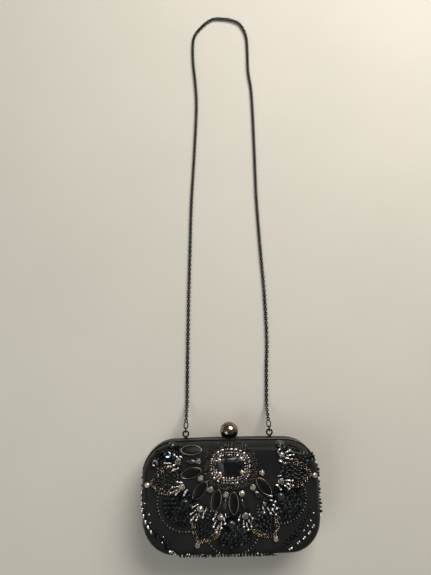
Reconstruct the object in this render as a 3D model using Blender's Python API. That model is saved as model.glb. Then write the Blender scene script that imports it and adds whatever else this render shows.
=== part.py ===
"""Evening bag: a satin-covered box clutch with a hinged frame, ball latch, chain strap and beaded lid.

The bag lies on its back. The origin is the centre of the rear face, +X runs along the bag,
+Y points to the opening edge with the ball, and +Z points out of the beaded front.
Sizes are in millimetres and are turned into metres when a mesh is made.
"""
import math

import bmesh
import bpy
from mathutils import Matrix, Vector

MM = 0.001

# Case
LENGTH = 178.0
HEIGHT = 109.0
DEPTH = 46.0
BOW_X = 1.2
BOW_Y = 1.8
CORNER_RADIUS = 31.0
EDGE_CURVE = 9.0
EDGE_POWER = 2.3
PARTING = DEPTH / 2
GAP = 0.3
SATIN = 0.5
SHELL = 1.5
LINING = 0.6
DISH_INSET = 1.6
DISH_LIP = 2.0

# Frame channel
LEG_DEPTH = 6.5
LEG_THICKNESS = 1.3
PLATE_THICKNESS = 1.5
INNER_LEG_START = 5.1
CHANNEL_WIDTH = 6.0
INNER_LEG_DEPTH = 5.5
PARTING_BEVEL = 1.4

# Hinges
HINGE_X = 36.0
KNUCKLE_LENGTH = 5.0
KNUCKLE_RADIUS = 1.6
HINGE_INSET = 1.2
TOE_DEPTH = 2.5
TOE_INNER = 0.1
BORE_RADIUS = 0.85
PIN_RADIUS = 0.6
PIN_HEAD_RADIUS = 1.3
PIN_HEAD = 0.6
LID_OPENING = 85.0

# Ball latch
LATCH_Y = 42.6
LATCH_Z = 17.0
LEVER_HALF = 2.0
STEM_LOW = 22.2
STEM_HIGH = 24.0
STEM_END = 56.4
BALL_RADIUS = 9.3
BALL_WALL = 0.8
BALL_Y = 61.0
BALL_Z = 24.0
BALL_CUT = 55.7
COLLAR_RADIUS = 5.4
COLLAR_HOLE = 2.9
COLLAR_THICKNESS = 0.55
COLLAR_GAP = 0.35
BOSS_RADIUS = 2.2
SLOT_SIDE = 0.7
SLOT_BACK_Y = 47.9
SLOT_Z = (18.8, 28.8)
CHEEK_INNER = 2.4
CHEEK_OUTER = 3.5
CHEEK_REACH = 2.4
FLANGE_HALF = 7.4
FLANGE_BACK = 48.2
FLANGE_FRONT = 47.2
BRACKET_LOW = 14.0
BRACKET_HIGH = 20.4
RIVET_X = 5.4
RIVET_Z = 19.0
RIVET_RADIUS = 0.55
RIVET_HEAD_RADIUS = 1.3
RIVET_CROWN_RADIUS = 0.8
RIVET_END = 49.3
RIVET_HOLE_END = 49.55
SPRING_LINE = ((46.7, 14.6), (46.7, 17.8), (46.0, 19.5), (46.3, 21.0))
SPRING_THICKNESS = 0.36
SPRING_WIDTH = 3.0
HOOK_Y = (45.1, 46.5, 47.6)
HOOK_Z = (26.1, 27.2)
KEEPER_Y = (45.2, 46.2)
KEEPER_Z = (24.3, 25.6)
KEEPER_HALF = (3.2, 4.3)

# Strap
EYELET_X = (-45.0, 42.0)
EYE_RADIUS = 2.9
EYE_WIRE = 0.6
EYE_Y = 58.3
EYE_Z = 19.5
FOOT_RADIUS = 1.9
FOOT_TIP_RADIUS = 1.1
CONNECTOR_HALF = (1.8, 2.4)
CLASP_HALF = (2.0, 4.0)
LINK_WIRE = 0.5
DROP_TILT = (12.0, 40.0)
CHAIN_WIDTH = 3.9
CHAIN_POINTS = 78
# The chain's route from the left clasp link to the right one, in metres.
CHAIN_ROUTE = (
    (-0.0450, 0.0701, 0.0134), (-0.0449, 0.0750, 0.0092), (-0.0447, 0.0812, 0.0052), (-0.0444, 0.0900, 0.0026),
    (-0.0438, 0.1180, 0.0021), (-0.0428, 0.1550, 0.0021), (-0.0410, 0.2100, 0.0021), (-0.0390, 0.2600, 0.0021),
    (-0.0367, 0.3150, 0.0021), (-0.0322, 0.3800, 0.0021), (-0.0292, 0.4340, 0.0021), (-0.0300, 0.4640, 0.0021),
    (-0.0322, 0.4900, 0.0021), (-0.0326, 0.5130, 0.0021), (-0.0306, 0.5280, 0.0021), (-0.0240, 0.5380, 0.0021),
    (-0.0150, 0.5470, 0.0021), (-0.0060, 0.5518, 0.0021), (0.0050, 0.5515, 0.0021), (0.0150, 0.5497, 0.0021),
    (0.0240, 0.5455, 0.0021), (0.0300, 0.5370, 0.0021), (0.0336, 0.5240, 0.0021), (0.0342, 0.5050, 0.0021),
    (0.0344, 0.4800, 0.0021), (0.0372, 0.4550, 0.0021), (0.0382, 0.4200, 0.0021), (0.0386, 0.3700, 0.0021),
    (0.0391, 0.3150, 0.0021), (0.0415, 0.2570, 0.0021), (0.0442, 0.2050, 0.0021), (0.0450, 0.1550, 0.0021),
    (0.0434, 0.1250, 0.0021), (0.0422, 0.0900, 0.0026), (0.0420, 0.0812, 0.0052), (0.0420, 0.0750, 0.0092),
    (0.0420, 0.0701, 0.0134),
)

# Beadwork, set out round the middle of the medallion
MEDALLION_Y = 31.4
STONE_HALF = (11.2, 7.9)
STONE_LEVELS = ((0.0, 0.97), (1.2, 1.0), (3.2, 0.6))
BEZEL = ((11.5, 8.2), (12.2, 8.9), 1.4)
SEED_BAND = ((12.5, 9.2), (16.6, 13.2), 1.5)
BUGLE_BAND = ((16.9, 13.5), (19.2, 15.8), 1.8)
LIFT = 0.35
NAVETTES = (
    (158, 41.0, 180), (188, 38.6, 195), (216, 36.9, 230), (245, 34.3, 255), (274, 33.9, 270), (329, 37.3, 310),
)
NAVETTE_HALF = (10.6, 4.9)
NAVETTE_STONE_INSET = 1.2
NAVETTE_RIM = 0.9
NAVETTE_HEIGHTS = (1.5, 1.8)
PETALS = ((191, 82.0), (245, 78.0), (302, 78.5), (353, 81.5))
PETAL_GEM = (2.5, 2.4)
FLOWERS = ((162, 60.0), (216, 55.5), (270, 53.0), (329, 56.0), (20, 52.5))
FLOWER_GEM = (4.0, 3.2)

STRAIGHT_X = LENGTH / 2 - BOW_X
STRAIGHT_Y = HEIGHT / 2 - BOW_Y
CORNER_X = STRAIGHT_X - CORNER_RADIUS
CORNER_Y = STRAIGHT_Y - CORNER_RADIUS
HINGE_Y = -(HEIGHT / 2 - HINGE_INSET)
TOP_EDGE = HEIGHT / 2
CORNER_STEPS = 5
LONG_STEPS = 5
SHORT_STEPS = 2
CURVE_STEPS = 5


# ---------------------------------------------------------------- tools

def clear_scene():
    for old in list(bpy.data.objects):
        bpy.data.objects.remove(old, do_unlink=True)


def material(name, colour, roughness, metallic):
    found = bpy.data.materials.get(name)
    if found:
        return found
    made = bpy.data.materials.new(name)
    made.use_nodes = True
    shader = made.node_tree.nodes["Principled BSDF"]
    shader.inputs["Base Color"].default_value = (*colour, 1.0)
    shader.inputs["Roughness"].default_value = roughness
    shader.inputs["Metallic"].default_value = metallic
    made.diffuse_color = (*colour, 1.0)
    return made


def satin_black():
    return material("black_satin", (0.02, 0.021, 0.024), 0.45, 0.0)


def board_grey():
    return material("case_board", (0.10, 0.10, 0.10), 0.7, 0.0)


def lining_black():
    return material("lining_satin", (0.03, 0.03, 0.033), 0.5, 0.0)


def gunmetal():
    return material("gunmetal", (0.10, 0.10, 0.11), 0.3, 1.0)


def black_stone():
    return material("black_stone", (0.01, 0.01, 0.012), 0.08, 0.0)


def champagne_stone():
    return material("champagne_stone", (0.62, 0.55, 0.42), 0.1, 0.2)


def silver_bead():
    return material("silver_bead", (0.75, 0.74, 0.72), 0.2, 1.0)


def add_object(name, bm, finish):
    """Turn a bmesh in millimetres into an object in metres, with its faces turned outwards."""
    bmesh.ops.recalc_face_normals(bm, faces=bm.faces)
    bmesh.ops.scale(bm, vec=(MM, MM, MM), verts=bm.verts)
    mesh = bpy.data.meshes.new(name)
    bm.to_mesh(mesh)
    bm.free()
    mesh.shade_smooth()
    mesh.set_sharp_from_angle(angle=math.radians(35))
    obj = bpy.data.objects.new(name, mesh)
    bpy.context.scene.collection.objects.link(obj)
    mesh.materials.append(finish)
    return obj


SIDEWAYS = Matrix(((0, 0, 1), (1, 0, 0), (0, 1, 0))).to_4x4()


def hide_tool(obj):
    obj.hide_render = True
    obj.display_type = "WIRE"


def boolean(obj, tool, operation="DIFFERENCE"):
    hide_tool(tool)
    step = obj.modifiers.new(tool.name, "BOOLEAN")
    step.operation = operation
    step.solver = "EXACT"
    step.object = tool


def add_box(bm, low, high):
    size = Vector(high) - Vector(low)
    middle = (Vector(low) + Vector(high)) / 2
    place = Matrix.Translation(middle) @ Matrix.Diagonal((*size, 1.0))
    bmesh.ops.create_cube(bm, size=1.0, matrix=place)


def box_object(name, boxes, finish):
    bm = bmesh.new()
    for low, high in boxes:
        add_box(bm, low, high)
    return add_object(name, bm, finish)


def add_rod(bm, start, end, radius, sides=12, end_radius=None):
    """A closed round rod, or a cone where end_radius is given."""
    start, end = Vector(start), Vector(end)
    along = end - start
    turn = along.to_track_quat("Z", "Y").to_matrix().to_4x4()
    place = Matrix.Translation((start + end) / 2) @ turn
    tip = radius if end_radius is None else end_radius
    bmesh.ops.create_cone(bm, cap_ends=True, segments=sides, radius1=radius, radius2=tip,
                          depth=along.length, matrix=place)


def add_prism(bm, outline, place, thickness):
    """A flat outline in the plane of place's X and Y, thickened along its Z."""
    low = [bm.verts.new(place @ Vector((x, y, 0.0))) for x, y in outline]
    high = [bm.verts.new(place @ Vector((x, y, thickness))) for x, y in outline]
    count = len(outline)
    bm.faces.new(low[::-1])
    bm.faces.new(high)
    for i in range(count):
        j = (i + 1) % count
        bm.faces.new((low[i], low[j], high[j], high[i]))


def add_band(bm, outer, inner, place, thickness):
    """A flat ring between two outlines that have the same number of points."""
    rings = []
    for outline, height in ((outer, 0.0), (outer, thickness), (inner, thickness), (inner, 0.0)):
        rings.append([bm.verts.new(place @ Vector((x, y, height))) for x, y in outline])
    for k in range(4):
        bridge(bm, rings[k], rings[(k + 1) % 4])


def bridge(bm, ring_a, ring_b):
    count = len(ring_a)
    for i in range(count):
        j = (i + 1) % count
        bm.faces.new((ring_a[i], ring_a[j], ring_b[j], ring_b[i]))


def ellipse(half_x, half_y, count, power=2.0):
    points = []
    for i in range(count):
        angle = 2 * math.pi * (i + 0.5) / count
        c, s = math.cos(angle), math.sin(angle)
        points.append((half_x * math.copysign(abs(c) ** (2 / power), c),
                       half_y * math.copysign(abs(s) ** (2 / power), s)))
    return points


# ---------------------------------------------------------------- case outline and lid surface

def bow(x, y):
    """Bend the straight sides outwards a little."""
    return (x + BOW_X * (1 - (y / STRAIGHT_Y) ** 2) * x / STRAIGHT_X,
            y + BOW_Y * (1 - (x / STRAIGHT_X) ** 2) * y / STRAIGHT_Y)


def outline(inset):
    """The case outline seen from the front, moved in by inset: four arcs and four bowed sides."""
    radius = CORNER_RADIUS - inset
    corners = ((1, 1), (-1, 1), (-1, -1), (1, -1))
    arcs = []
    for k, (side_x, side_y) in enumerate(corners):
        arc = []
        for step in range(CORNER_STEPS + 1):
            angle = math.radians(90 * (k + step / CORNER_STEPS))
            arc.append((side_x * CORNER_X + radius * math.cos(angle),
                        side_y * CORNER_Y + radius * math.sin(angle)))
        arcs.append(arc)
    points = []
    for k, arc in enumerate(arcs):
        points.extend(arc)
        steps = LONG_STEPS if k % 2 == 0 else SHORT_STEPS
        start, end = arc[-1], arcs[(k + 1) % 4][0]
        for step in range(1, steps):
            part = step / steps
            points.append((start[0] + (end[0] - start[0]) * part, start[1] + (end[1] - start[1]) * part))
    return [bow(x, y) for x, y in points]


def add_rings(bm, stations, closed):
    """Skin rings of the case outline, each at its own inset and height, and cap the open ends."""
    rings = []
    for inset, z in stations:
        rings.append([bm.verts.new((x, y, z)) for x, y in outline(inset)])
    for ring_a, ring_b in zip(rings, rings[1:]):
        bridge(bm, ring_a, ring_b)
    if closed:
        bridge(bm, rings[-1], rings[0])
    else:
        bm.faces.new(rings[0])
        bm.faces.new(rings[-1])


def mirror_height(stations, lid):
    return [(inset, DEPTH - z) for inset, z in stations] if lid else stations


def dish_wall(offset):
    """One surface of the tray from its lip to its flat bottom, offset inwards from the outside."""
    knee = PARTING - LEG_DEPTH
    wall = [(DISH_INSET + offset, PARTING - DISH_LIP)]
    for step in range(CURVE_STEPS + 1):
        angle = math.pi / 2 * step / CURVE_STEPS
        across = max(math.cos(angle), 0.0) ** (2 / EDGE_POWER)
        down = math.sin(angle) ** (2 / EDGE_POWER)
        wall.append((DISH_INSET + offset + EDGE_CURVE * (1 - across), knee * (1 - down) + offset))
    return wall


def make_dish(name, start, thickness, lid, finish):
    """An open tray with an even wall, cut away where the latch passes through its lip."""
    stations = dish_wall(start)[::-1] + dish_wall(start + thickness)
    bm = bmesh.new()
    add_rings(bm, mirror_height(stations, lid), closed=False)
    obj = add_object(name, bm, finish)
    boolean(obj, latch_slot())
    return obj


def inset_of(x, y):
    """How far a point of the lid is inside the case outline."""
    flat_x = x - BOW_X * (1 - min(1.0, (y / STRAIGHT_Y) ** 2)) * x / STRAIGHT_X
    flat_y = y - BOW_Y * (1 - min(1.0, (x / STRAIGHT_X) ** 2)) * y / STRAIGHT_Y
    out_x = abs(flat_x) - CORNER_X
    out_y = abs(flat_y) - CORNER_Y
    return CORNER_RADIUS - math.hypot(max(out_x, 0.0), max(out_y, 0.0)) - min(max(out_x, out_y), 0.0)


def lid_height(x, y):
    """Height of the lid's satin at a point."""
    knee = PARTING + LEG_DEPTH
    part = min(1.0, max(0.0, (inset_of(x, y) - DISH_INSET) / EDGE_CURVE))
    return knee + (DEPTH - knee) * (1 - (1 - part) ** EDGE_POWER) ** (1 / EDGE_POWER)


def on_lid(x, y, turn=0.0):
    """A place on the lid: X is turned by an angle in degrees and Z points away from the satin."""
    step = 0.5
    slope_x = (lid_height(x + step, y) - lid_height(x - step, y)) / (2 * step)
    slope_y = (lid_height(x, y + step) - lid_height(x, y - step)) / (2 * step)
    away = Vector((-slope_x, -slope_y, 1.0)).normalized()
    heading = Vector((math.cos(math.radians(turn)), math.sin(math.radians(turn)), 0.0))
    across = away.cross(heading).normalized()
    along = across.cross(away)
    frame = Matrix((along, across, away)).transposed().to_4x4()
    base = Vector((x, y, lid_height(x, y))) + away * LIFT
    return Matrix.Translation(base) @ frame


def polar(angle, radius):
    """A point of the beadwork, by its direction and distance from the medallion's middle."""
    turn = math.radians(angle)
    return (radius * math.cos(turn), MEDALLION_Y + radius * math.sin(turn))


# ---------------------------------------------------------------- case and frame

def latch_slot():
    """Space for the latch's stem and hook, through the lips of the trays and the frame."""
    found = bpy.data.objects.get("latch_slot_tool")
    if found:
        return found
    half = LEVER_HALF + SLOT_SIDE
    low, high = SLOT_Z
    tool = box_object("latch_slot_tool", [((-half, SLOT_BACK_Y, low), (half, TOP_EDGE + 2, high))], gunmetal())
    hide_tool(tool)
    return tool


def hinge_notch():
    """Clearance round both hinge barrels."""
    found = bpy.data.objects.get("hinge_notch_tool")
    if found:
        return found
    half = 1.5 * KNUCKLE_LENGTH + 2 * GAP + PIN_HEAD + 2 * GAP
    reach = TOE_DEPTH + GAP
    boxes = []
    for x in (-HINGE_X, HINGE_X):
        boxes.append(((x - half, HINGE_Y - 4, PARTING - reach),
                      (x + half, HINGE_Y + KNUCKLE_RADIUS + 2 * GAP, PARTING + reach)))
    tool = box_object("hinge_notch_tool", boxes, gunmetal())
    hide_tool(tool)
    return tool


def make_frame(name, lid):
    """A channel ring that grips the trays' lips and meets its twin along the parting line."""
    face = PARTING - GAP / 2
    stations = [
        (0.0, PARTING - LEG_DEPTH),
        (0.0, face - PARTING_BEVEL),
        (PARTING_BEVEL, face),
        (CHANNEL_WIDTH, face),
        (CHANNEL_WIDTH, PARTING - INNER_LEG_DEPTH),
        (INNER_LEG_START, PARTING - INNER_LEG_DEPTH),
        (INNER_LEG_START, face - PLATE_THICKNESS),
        (LEG_THICKNESS, face - PLATE_THICKNESS),
        (LEG_THICKNESS, PARTING - LEG_DEPTH),
    ]
    bm = bmesh.new()
    add_rings(bm, mirror_height(stations, lid), closed=True)
    obj = add_object(name, bm, gunmetal())
    boolean(obj, latch_slot())
    boolean(obj, hinge_notch())
    return obj


# ---------------------------------------------------------------- hinges

def knuckle_outline(lid):
    """A round barrel with a square foot and a deeper toe towards its own half of the frame."""
    side = 1 if lid else -1
    points = []
    for step in range(9):
        angle = math.radians(180 * step / 8)
        points.append((KNUCKLE_RADIUS * math.cos(angle), -side * KNUCKLE_RADIUS * math.sin(angle)))
    points.append((-KNUCKLE_RADIUS, side * TOE_DEPTH))
    points.append((TOE_INNER, side * TOE_DEPTH))
    points.append((TOE_INNER, side * KNUCKLE_RADIUS))
    points.append((KNUCKLE_RADIUS, side * KNUCKLE_RADIUS))
    return points


def add_knuckle(bm, hinge_x, start, lid):
    place = Matrix.Translation((hinge_x + start, HINGE_Y, PARTING)) @ SIDEWAYS
    add_prism(bm, knuckle_outline(lid), place, KNUCKLE_LENGTH)


def make_lid_knuckle(side, hinge_x):
    """The middle knuckle of a hinge, fixed to the lid's frame."""
    bm = bmesh.new()
    add_knuckle(bm, hinge_x, -KNUCKLE_LENGTH / 2, lid=True)
    obj = add_object(side + "_lid_knuckle", bm, gunmetal())
    boolean(obj, hinge_bore())


def make_rear_knuckles(side, hinge_x):
    """The two outer knuckles of a hinge, joined by a strip that passes under the middle one."""
    far = KNUCKLE_LENGTH / 2 + GAP
    bm = bmesh.new()
    add_box(bm, (hinge_x - far - 1, HINGE_Y - KNUCKLE_RADIUS + 0.1, PARTING - TOE_DEPTH + 0.05),
            (hinge_x + far + 1, HINGE_Y + TOE_INNER - 0.1, PARTING - KNUCKLE_RADIUS - GAP))
    obj = add_object(side + "_rear_knuckles", bm, gunmetal())
    for end, start in (("a", far), ("b", -far - KNUCKLE_LENGTH)):
        tool = bmesh.new()
        add_knuckle(tool, hinge_x, start, lid=False)
        boolean(obj, add_object(side + "_knuckle_tool_" + end, tool, gunmetal()), "UNION")
    boolean(obj, hinge_bore())


def hinge_bore():
    found = bpy.data.objects.get("hinge_bore_tool")
    if found:
        return found
    bm = bmesh.new()
    for x in (-HINGE_X, HINGE_X):
        add_rod(bm, (x - 12, HINGE_Y, PARTING), (x + 12, HINGE_Y, PARTING), BORE_RADIUS)
    tool = add_object("hinge_bore_tool", bm, gunmetal())
    hide_tool(tool)
    return tool


def add_headed_pin(bm, middle, half, head):
    """A pin along X with a head at both ends, turned in one piece."""
    x, y, z = middle
    profile = ((-half - head, PIN_HEAD_RADIUS), (-half, PIN_HEAD_RADIUS), (-half, PIN_RADIUS),
               (half, PIN_RADIUS), (half, PIN_HEAD_RADIUS), (half + head, PIN_HEAD_RADIUS))
    rings = []
    for along, radius in profile:
        ring = []
        for k in range(12):
            angle = 2 * math.pi * k / 12
            ring.append(bm.verts.new((x + along, y + radius * math.cos(angle), z + radius * math.sin(angle))))
        rings.append(ring)
    for ring_a, ring_b in zip(rings, rings[1:]):
        bridge(bm, ring_a, ring_b)
    bm.faces.new(rings[0])
    bm.faces.new(rings[-1])


def make_hinge_pin(side, hinge_x):
    bm = bmesh.new()
    add_headed_pin(bm, (hinge_x, HINGE_Y, PARTING), 1.5 * KNUCKLE_LENGTH + 2 * GAP, PIN_HEAD)
    add_object(side + "_hinge_pin", bm, gunmetal())


# ---------------------------------------------------------------- ball latch

def make_bracket():
    """A bent strip riveted to the rear frame, with two cheeks that carry the latch pin."""
    tip = LATCH_Y - CHEEK_REACH
    plan = [(-FLANGE_HALF, FLANGE_BACK), (-FLANGE_HALF, FLANGE_FRONT), (-CHEEK_OUTER, FLANGE_FRONT),
            (-CHEEK_OUTER, tip), (-CHEEK_INNER, tip), (-CHEEK_INNER, FLANGE_FRONT),
            (CHEEK_INNER, FLANGE_FRONT), (CHEEK_INNER, tip), (CHEEK_OUTER, tip),
            (CHEEK_OUTER, FLANGE_FRONT), (FLANGE_HALF, FLANGE_FRONT), (FLANGE_HALF, FLANGE_BACK)]
    bm = bmesh.new()
    add_prism(bm, plan, Matrix.Translation((0, 0, BRACKET_LOW)), BRACKET_HIGH - BRACKET_LOW)
    obj = add_object("latch_bracket", bm, gunmetal())
    bore = bmesh.new()
    add_rod(bore, (-10, LATCH_Y, LATCH_Z), (10, LATCH_Y, LATCH_Z), BORE_RADIUS)
    boolean(obj, add_object("latch_bore_tool", bore, gunmetal()))
    boolean(obj, rivet_holes())


def rivet_holes():
    found = bpy.data.objects.get("rivet_hole_tool")
    if found:
        return found
    bm = bmesh.new()
    for x in (-RIVET_X, RIVET_X):
        add_rod(bm, (x, FLANGE_FRONT - 1, RIVET_Z), (x, RIVET_HOLE_END, RIVET_Z), BORE_RADIUS, sides=10)
    tool = add_object("rivet_hole_tool", bm, gunmetal())
    hide_tool(tool)
    return tool


def make_rivet(side, x):
    """A round-headed rivet through the bracket's flange and the frame's inner leg."""
    head = FLANGE_FRONT - GAP
    turned = ((head - 0.6, RIVET_CROWN_RADIUS), (head - 0.2, RIVET_HEAD_RADIUS), (head, RIVET_HEAD_RADIUS),
              (head, RIVET_RADIUS), (RIVET_END, RIVET_RADIUS))
    bm = bmesh.new()
    rings = []
    for y, radius in turned:
        ring = []
        for k in range(10):
            angle = 2 * math.pi * k / 10
            ring.append(bm.verts.new((x + radius * math.cos(angle), y, RIVET_Z + radius * math.sin(angle))))
        rings.append(ring)
    for ring_a, ring_b in zip(rings, rings[1:]):
        bridge(bm, ring_a, ring_b)
    bm.faces.new(rings[0])
    bm.faces.new(rings[-1])
    add_object(side + "_bracket_rivet", bm, gunmetal())


def make_latch_pin():
    bm = bmesh.new()
    add_headed_pin(bm, (0, LATCH_Y, LATCH_Z), CHEEK_OUTER + GAP, PIN_HEAD)
    add_object("latch_pin", bm, gunmetal())


def make_lever():
    """The latch lever: a boss on the pin, a stem out to the ball and a hook over the keeper."""
    tip, inner, outer = HOOK_Y
    under, top = HOOK_Z
    boss = BOSS_RADIUS
    profile = []
    for step in range(9):
        angle = math.radians(180 + 180 * step / 8)
        profile.append((LATCH_Y + boss * math.cos(angle), LATCH_Z + boss * math.sin(angle)))
    profile += [(LATCH_Y + boss, STEM_LOW - 0.6), (LATCH_Y + boss + 0.6, STEM_LOW), (STEM_END, STEM_LOW),
                (STEM_END, STEM_HIGH), (outer, STEM_HIGH), (outer, top - 0.4), (outer - 0.4, top),
                (tip, top), (tip, under), (inner, under), (inner, STEM_HIGH),
                (LATCH_Y - boss + 1.0, STEM_HIGH), (LATCH_Y - boss, STEM_HIGH - 1.0)]
    bm = bmesh.new()
    add_prism(bm, profile, Matrix.Translation((-LEVER_HALF, 0, 0)) @ SIDEWAYS, 2 * LEVER_HALF)
    obj = add_object("latch_lever", bm, gunmetal())
    bore = bmesh.new()
    add_rod(bore, (-5, LATCH_Y, LATCH_Z), (5, LATCH_Y, LATCH_Z), BORE_RADIUS)
    boolean(obj, add_object("lever_bore_tool", bore, gunmetal()))


def make_latch_spring():
    """A leaf spring on the bracket that pushes the stem back up."""
    half = SPRING_THICKNESS / 2
    left = [(y - half, z) for y, z in SPRING_LINE]
    right = [(y + half, z) for y, z in SPRING_LINE]
    bm = bmesh.new()
    add_prism(bm, left + right[::-1], Matrix.Translation((-SPRING_WIDTH / 2, 0, 0)) @ SIDEWAYS, SPRING_WIDTH)
    add_object("latch_spring", bm, gunmetal())


def make_keeper():
    """A bent strip on the front frame: the latch hooks over its bar."""
    near, far = KEEPER_Y
    inside, outside = KEEPER_HALF
    plan = [(-FLANGE_HALF, FLANGE_BACK), (-FLANGE_HALF, FLANGE_FRONT),
            (-outside, FLANGE_FRONT), (-outside, near), (outside, near), (outside, FLANGE_FRONT),
            (FLANGE_HALF, FLANGE_FRONT), (FLANGE_HALF, FLANGE_BACK),
            (inside, FLANGE_BACK), (inside, far), (-inside, far), (-inside, FLANGE_BACK)]
    bm = bmesh.new()
    add_prism(bm, plan, Matrix.Translation((0, 0, KEEPER_Z[0])), KEEPER_Z[1] - KEEPER_Z[0])
    add_object("latch_keeper", bm, gunmetal())


def make_ball():
    """A hollow ball, open where it meets its collar, turned about the Y axis."""
    outer_start = math.asin((BALL_Y - BALL_CUT) / BALL_RADIUS)
    inner_radius = BALL_RADIUS - BALL_WALL
    inner_start = math.asin((BALL_Y - BALL_CUT) / inner_radius)
    sides = 20
    steps = 9
    bm = bmesh.new()
    rings = []
    for radius, start, order in ((BALL_RADIUS, outer_start, 1), (inner_radius, inner_start, -1)):
        angles = [-start + (math.pi / 2 + start) * k / steps for k in range(steps)][::order]
        shell = []
        for angle in angles:
            y = BALL_Y + radius * math.sin(angle)
            across = radius * math.cos(angle)
            ring = []
            for k in range(sides):
                turn = 2 * math.pi * k / sides
                ring.append(bm.verts.new((across * math.cos(turn), y, BALL_Z + across * math.sin(turn))))
            shell.append(ring)
        rings.append(shell)
    outer, inner = rings
    for shell in rings:
        for ring_a, ring_b in zip(shell, shell[1:]):
            bridge(bm, ring_a, ring_b)
    bridge(bm, inner[-1], outer[0])
    for ring, radius in ((outer[-1], BALL_RADIUS), (inner[0], inner_radius)):
        top = bm.verts.new((0, BALL_Y + radius, BALL_Z))
        for i in range(sides):
            bm.faces.new((ring[i], ring[(i + 1) % sides], top))
    add_object("ball_knob", bm, gunmetal())


def make_collar():
    sideways = Matrix(((1, 0, 0), (0, 0, 1), (0, -1, 0))).to_4x4()
    place = Matrix.Translation((0, TOP_EDGE + COLLAR_GAP, BALL_Z)) @ sideways
    outer, inner = ellipse(COLLAR_RADIUS, COLLAR_RADIUS, 16), ellipse(COLLAR_HOLE, COLLAR_HOLE, 16)
    bm = bmesh.new()
    add_band(bm, outer, inner, place, COLLAR_THICKNESS)
    add_object("ball_collar", bm, gunmetal())


# ---------------------------------------------------------------- strap

def edge_y(x):
    return STRAIGHT_Y + BOW_Y * (1 - (x / STRAIGHT_X) ** 2)


def add_wire_ring(bm, place, half_x, half_y, wire, count=16, sides=8):
    """A closed round wire bent into an oval in the plane of place."""
    rings = []
    for i in range(count):
        angle = 2 * math.pi * i / count
        centre = Vector((half_x * math.cos(angle), half_y * math.sin(angle), 0))
        out = Vector((half_y * math.cos(angle), half_x * math.sin(angle), 0)).normalized()
        ring = []
        for k in range(sides):
            turn = 2 * math.pi * k / sides
            offset = out * (wire * math.cos(turn)) + Vector((0, 0, wire * math.sin(turn)))
            ring.append(bm.verts.new(place @ (centre + offset)))
        rings.append(ring)
    for i in range(count):
        bridge(bm, rings[i], rings[(i + 1) % count])


def make_eyelet(name, x):
    """A ring on a small foot that is fixed to the rear frame."""
    bm = bmesh.new()
    add_wire_ring(bm, Matrix.Translation((x, EYE_Y, EYE_Z)), EYE_RADIUS, EYE_RADIUS, EYE_WIRE)
    obj = add_object(name, bm, gunmetal())
    foot = bmesh.new()
    start = edge_y(x) + GAP
    add_rod(foot, (x, start, EYE_Z), (x, EYE_Y - EYE_RADIUS, EYE_Z), FOOT_RADIUS, sides=12,
            end_radius=FOOT_TIP_RADIUS)
    boolean(obj, add_object(name + "_foot_tool", foot, gunmetal()), "UNION")


def strap_links(x):
    """The middles and headings of the two links between an eyelet and the chain."""
    axis_y = EYE_Y + EYE_RADIUS
    reach = EYE_WIRE + GAP + LINK_WIRE
    first = Vector((0, math.cos(math.radians(DROP_TILT[0])), -math.sin(math.radians(DROP_TILT[0]))))
    second = Vector((0, math.cos(math.radians(DROP_TILT[1])), -math.sin(math.radians(DROP_TILT[1]))))
    start = Vector((x, axis_y, EYE_Z)) - first * reach
    centre_a = start + first * CONNECTOR_HALF[1]
    end_a = start + first * (2 * CONNECTOR_HALF[1])
    start_b = end_a - first * (LINK_WIRE + GAP + LINK_WIRE)
    centre_b = start_b + second * CLASP_HALF[1]
    return centre_a, first, centre_b, second


def make_connector(side, x):
    centre_a, first, centre_b, second = strap_links(x)
    sideways = Vector((1, 0, 0))
    bm = bmesh.new()
    upright = Matrix((first.cross(sideways), first, sideways)).transposed().to_4x4()
    add_wire_ring(bm, Matrix.Translation(centre_a) @ upright, *CONNECTOR_HALF, LINK_WIRE, sides=6)
    add_object(side + "_connector_link", bm, gunmetal())
    bm = bmesh.new()
    flat = Matrix((sideways, second, sideways.cross(second))).transposed().to_4x4()
    add_wire_ring(bm, Matrix.Translation(centre_b) @ flat, *CLASP_HALF, LINK_WIRE, sides=6)
    add_object(side + "_clasp_link", bm, gunmetal())


def smooth_points(route, count):
    """Even points along a Catmull-Rom curve through the route."""
    points = [Vector(p) for p in route]
    points = [2 * points[0] - points[1]] + points + [2 * points[-1] - points[-2]]
    dense = []
    for a, b, c, d in zip(points, points[1:], points[2:], points[3:]):
        for step in range(12):
            t = step / 12
            dense.append(0.5 * (2 * b + (c - a) * t + (2 * a - 5 * b + 4 * c - d) * t * t
                                + (3 * b - a - 3 * c + d) * t ** 3))
    dense.append(points[-2])
    travelled = [0.0]
    for a, b in zip(dense, dense[1:]):
        travelled.append(travelled[-1] + (b - a).length)
    even = []
    k = 0
    for i in range(count):
        goal = travelled[-1] * i / (count - 1)
        while k < len(dense) - 2 and travelled[k + 1] < goal:
            k += 1
        part = (goal - travelled[k]) / (travelled[k + 1] - travelled[k])
        even.append(dense[k].lerp(dense[k + 1], part))
    return even


def make_chain():
    points = smooth_points(CHAIN_ROUTE, CHAIN_POINTS)
    curve = bpy.data.curves.new("chain", "CURVE")
    curve.dimensions = "3D"
    curve.bevel_depth = CHAIN_WIDTH / 2 * MM
    curve.bevel_resolution = 2
    curve.use_fill_caps = True
    spline = curve.splines.new("POLY")
    spline.points.add(len(points) - 1)
    for target, point in zip(spline.points, points):
        target.co = (*point, 1.0)
    curve.materials.append(gunmetal())
    obj = bpy.data.objects.new("chain", curve)
    bpy.context.scene.collection.objects.link(obj)


# ---------------------------------------------------------------- beadwork

def rounded(half, power=4.0, count=24):
    return ellipse(half[0], half[1], count, power)


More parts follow.
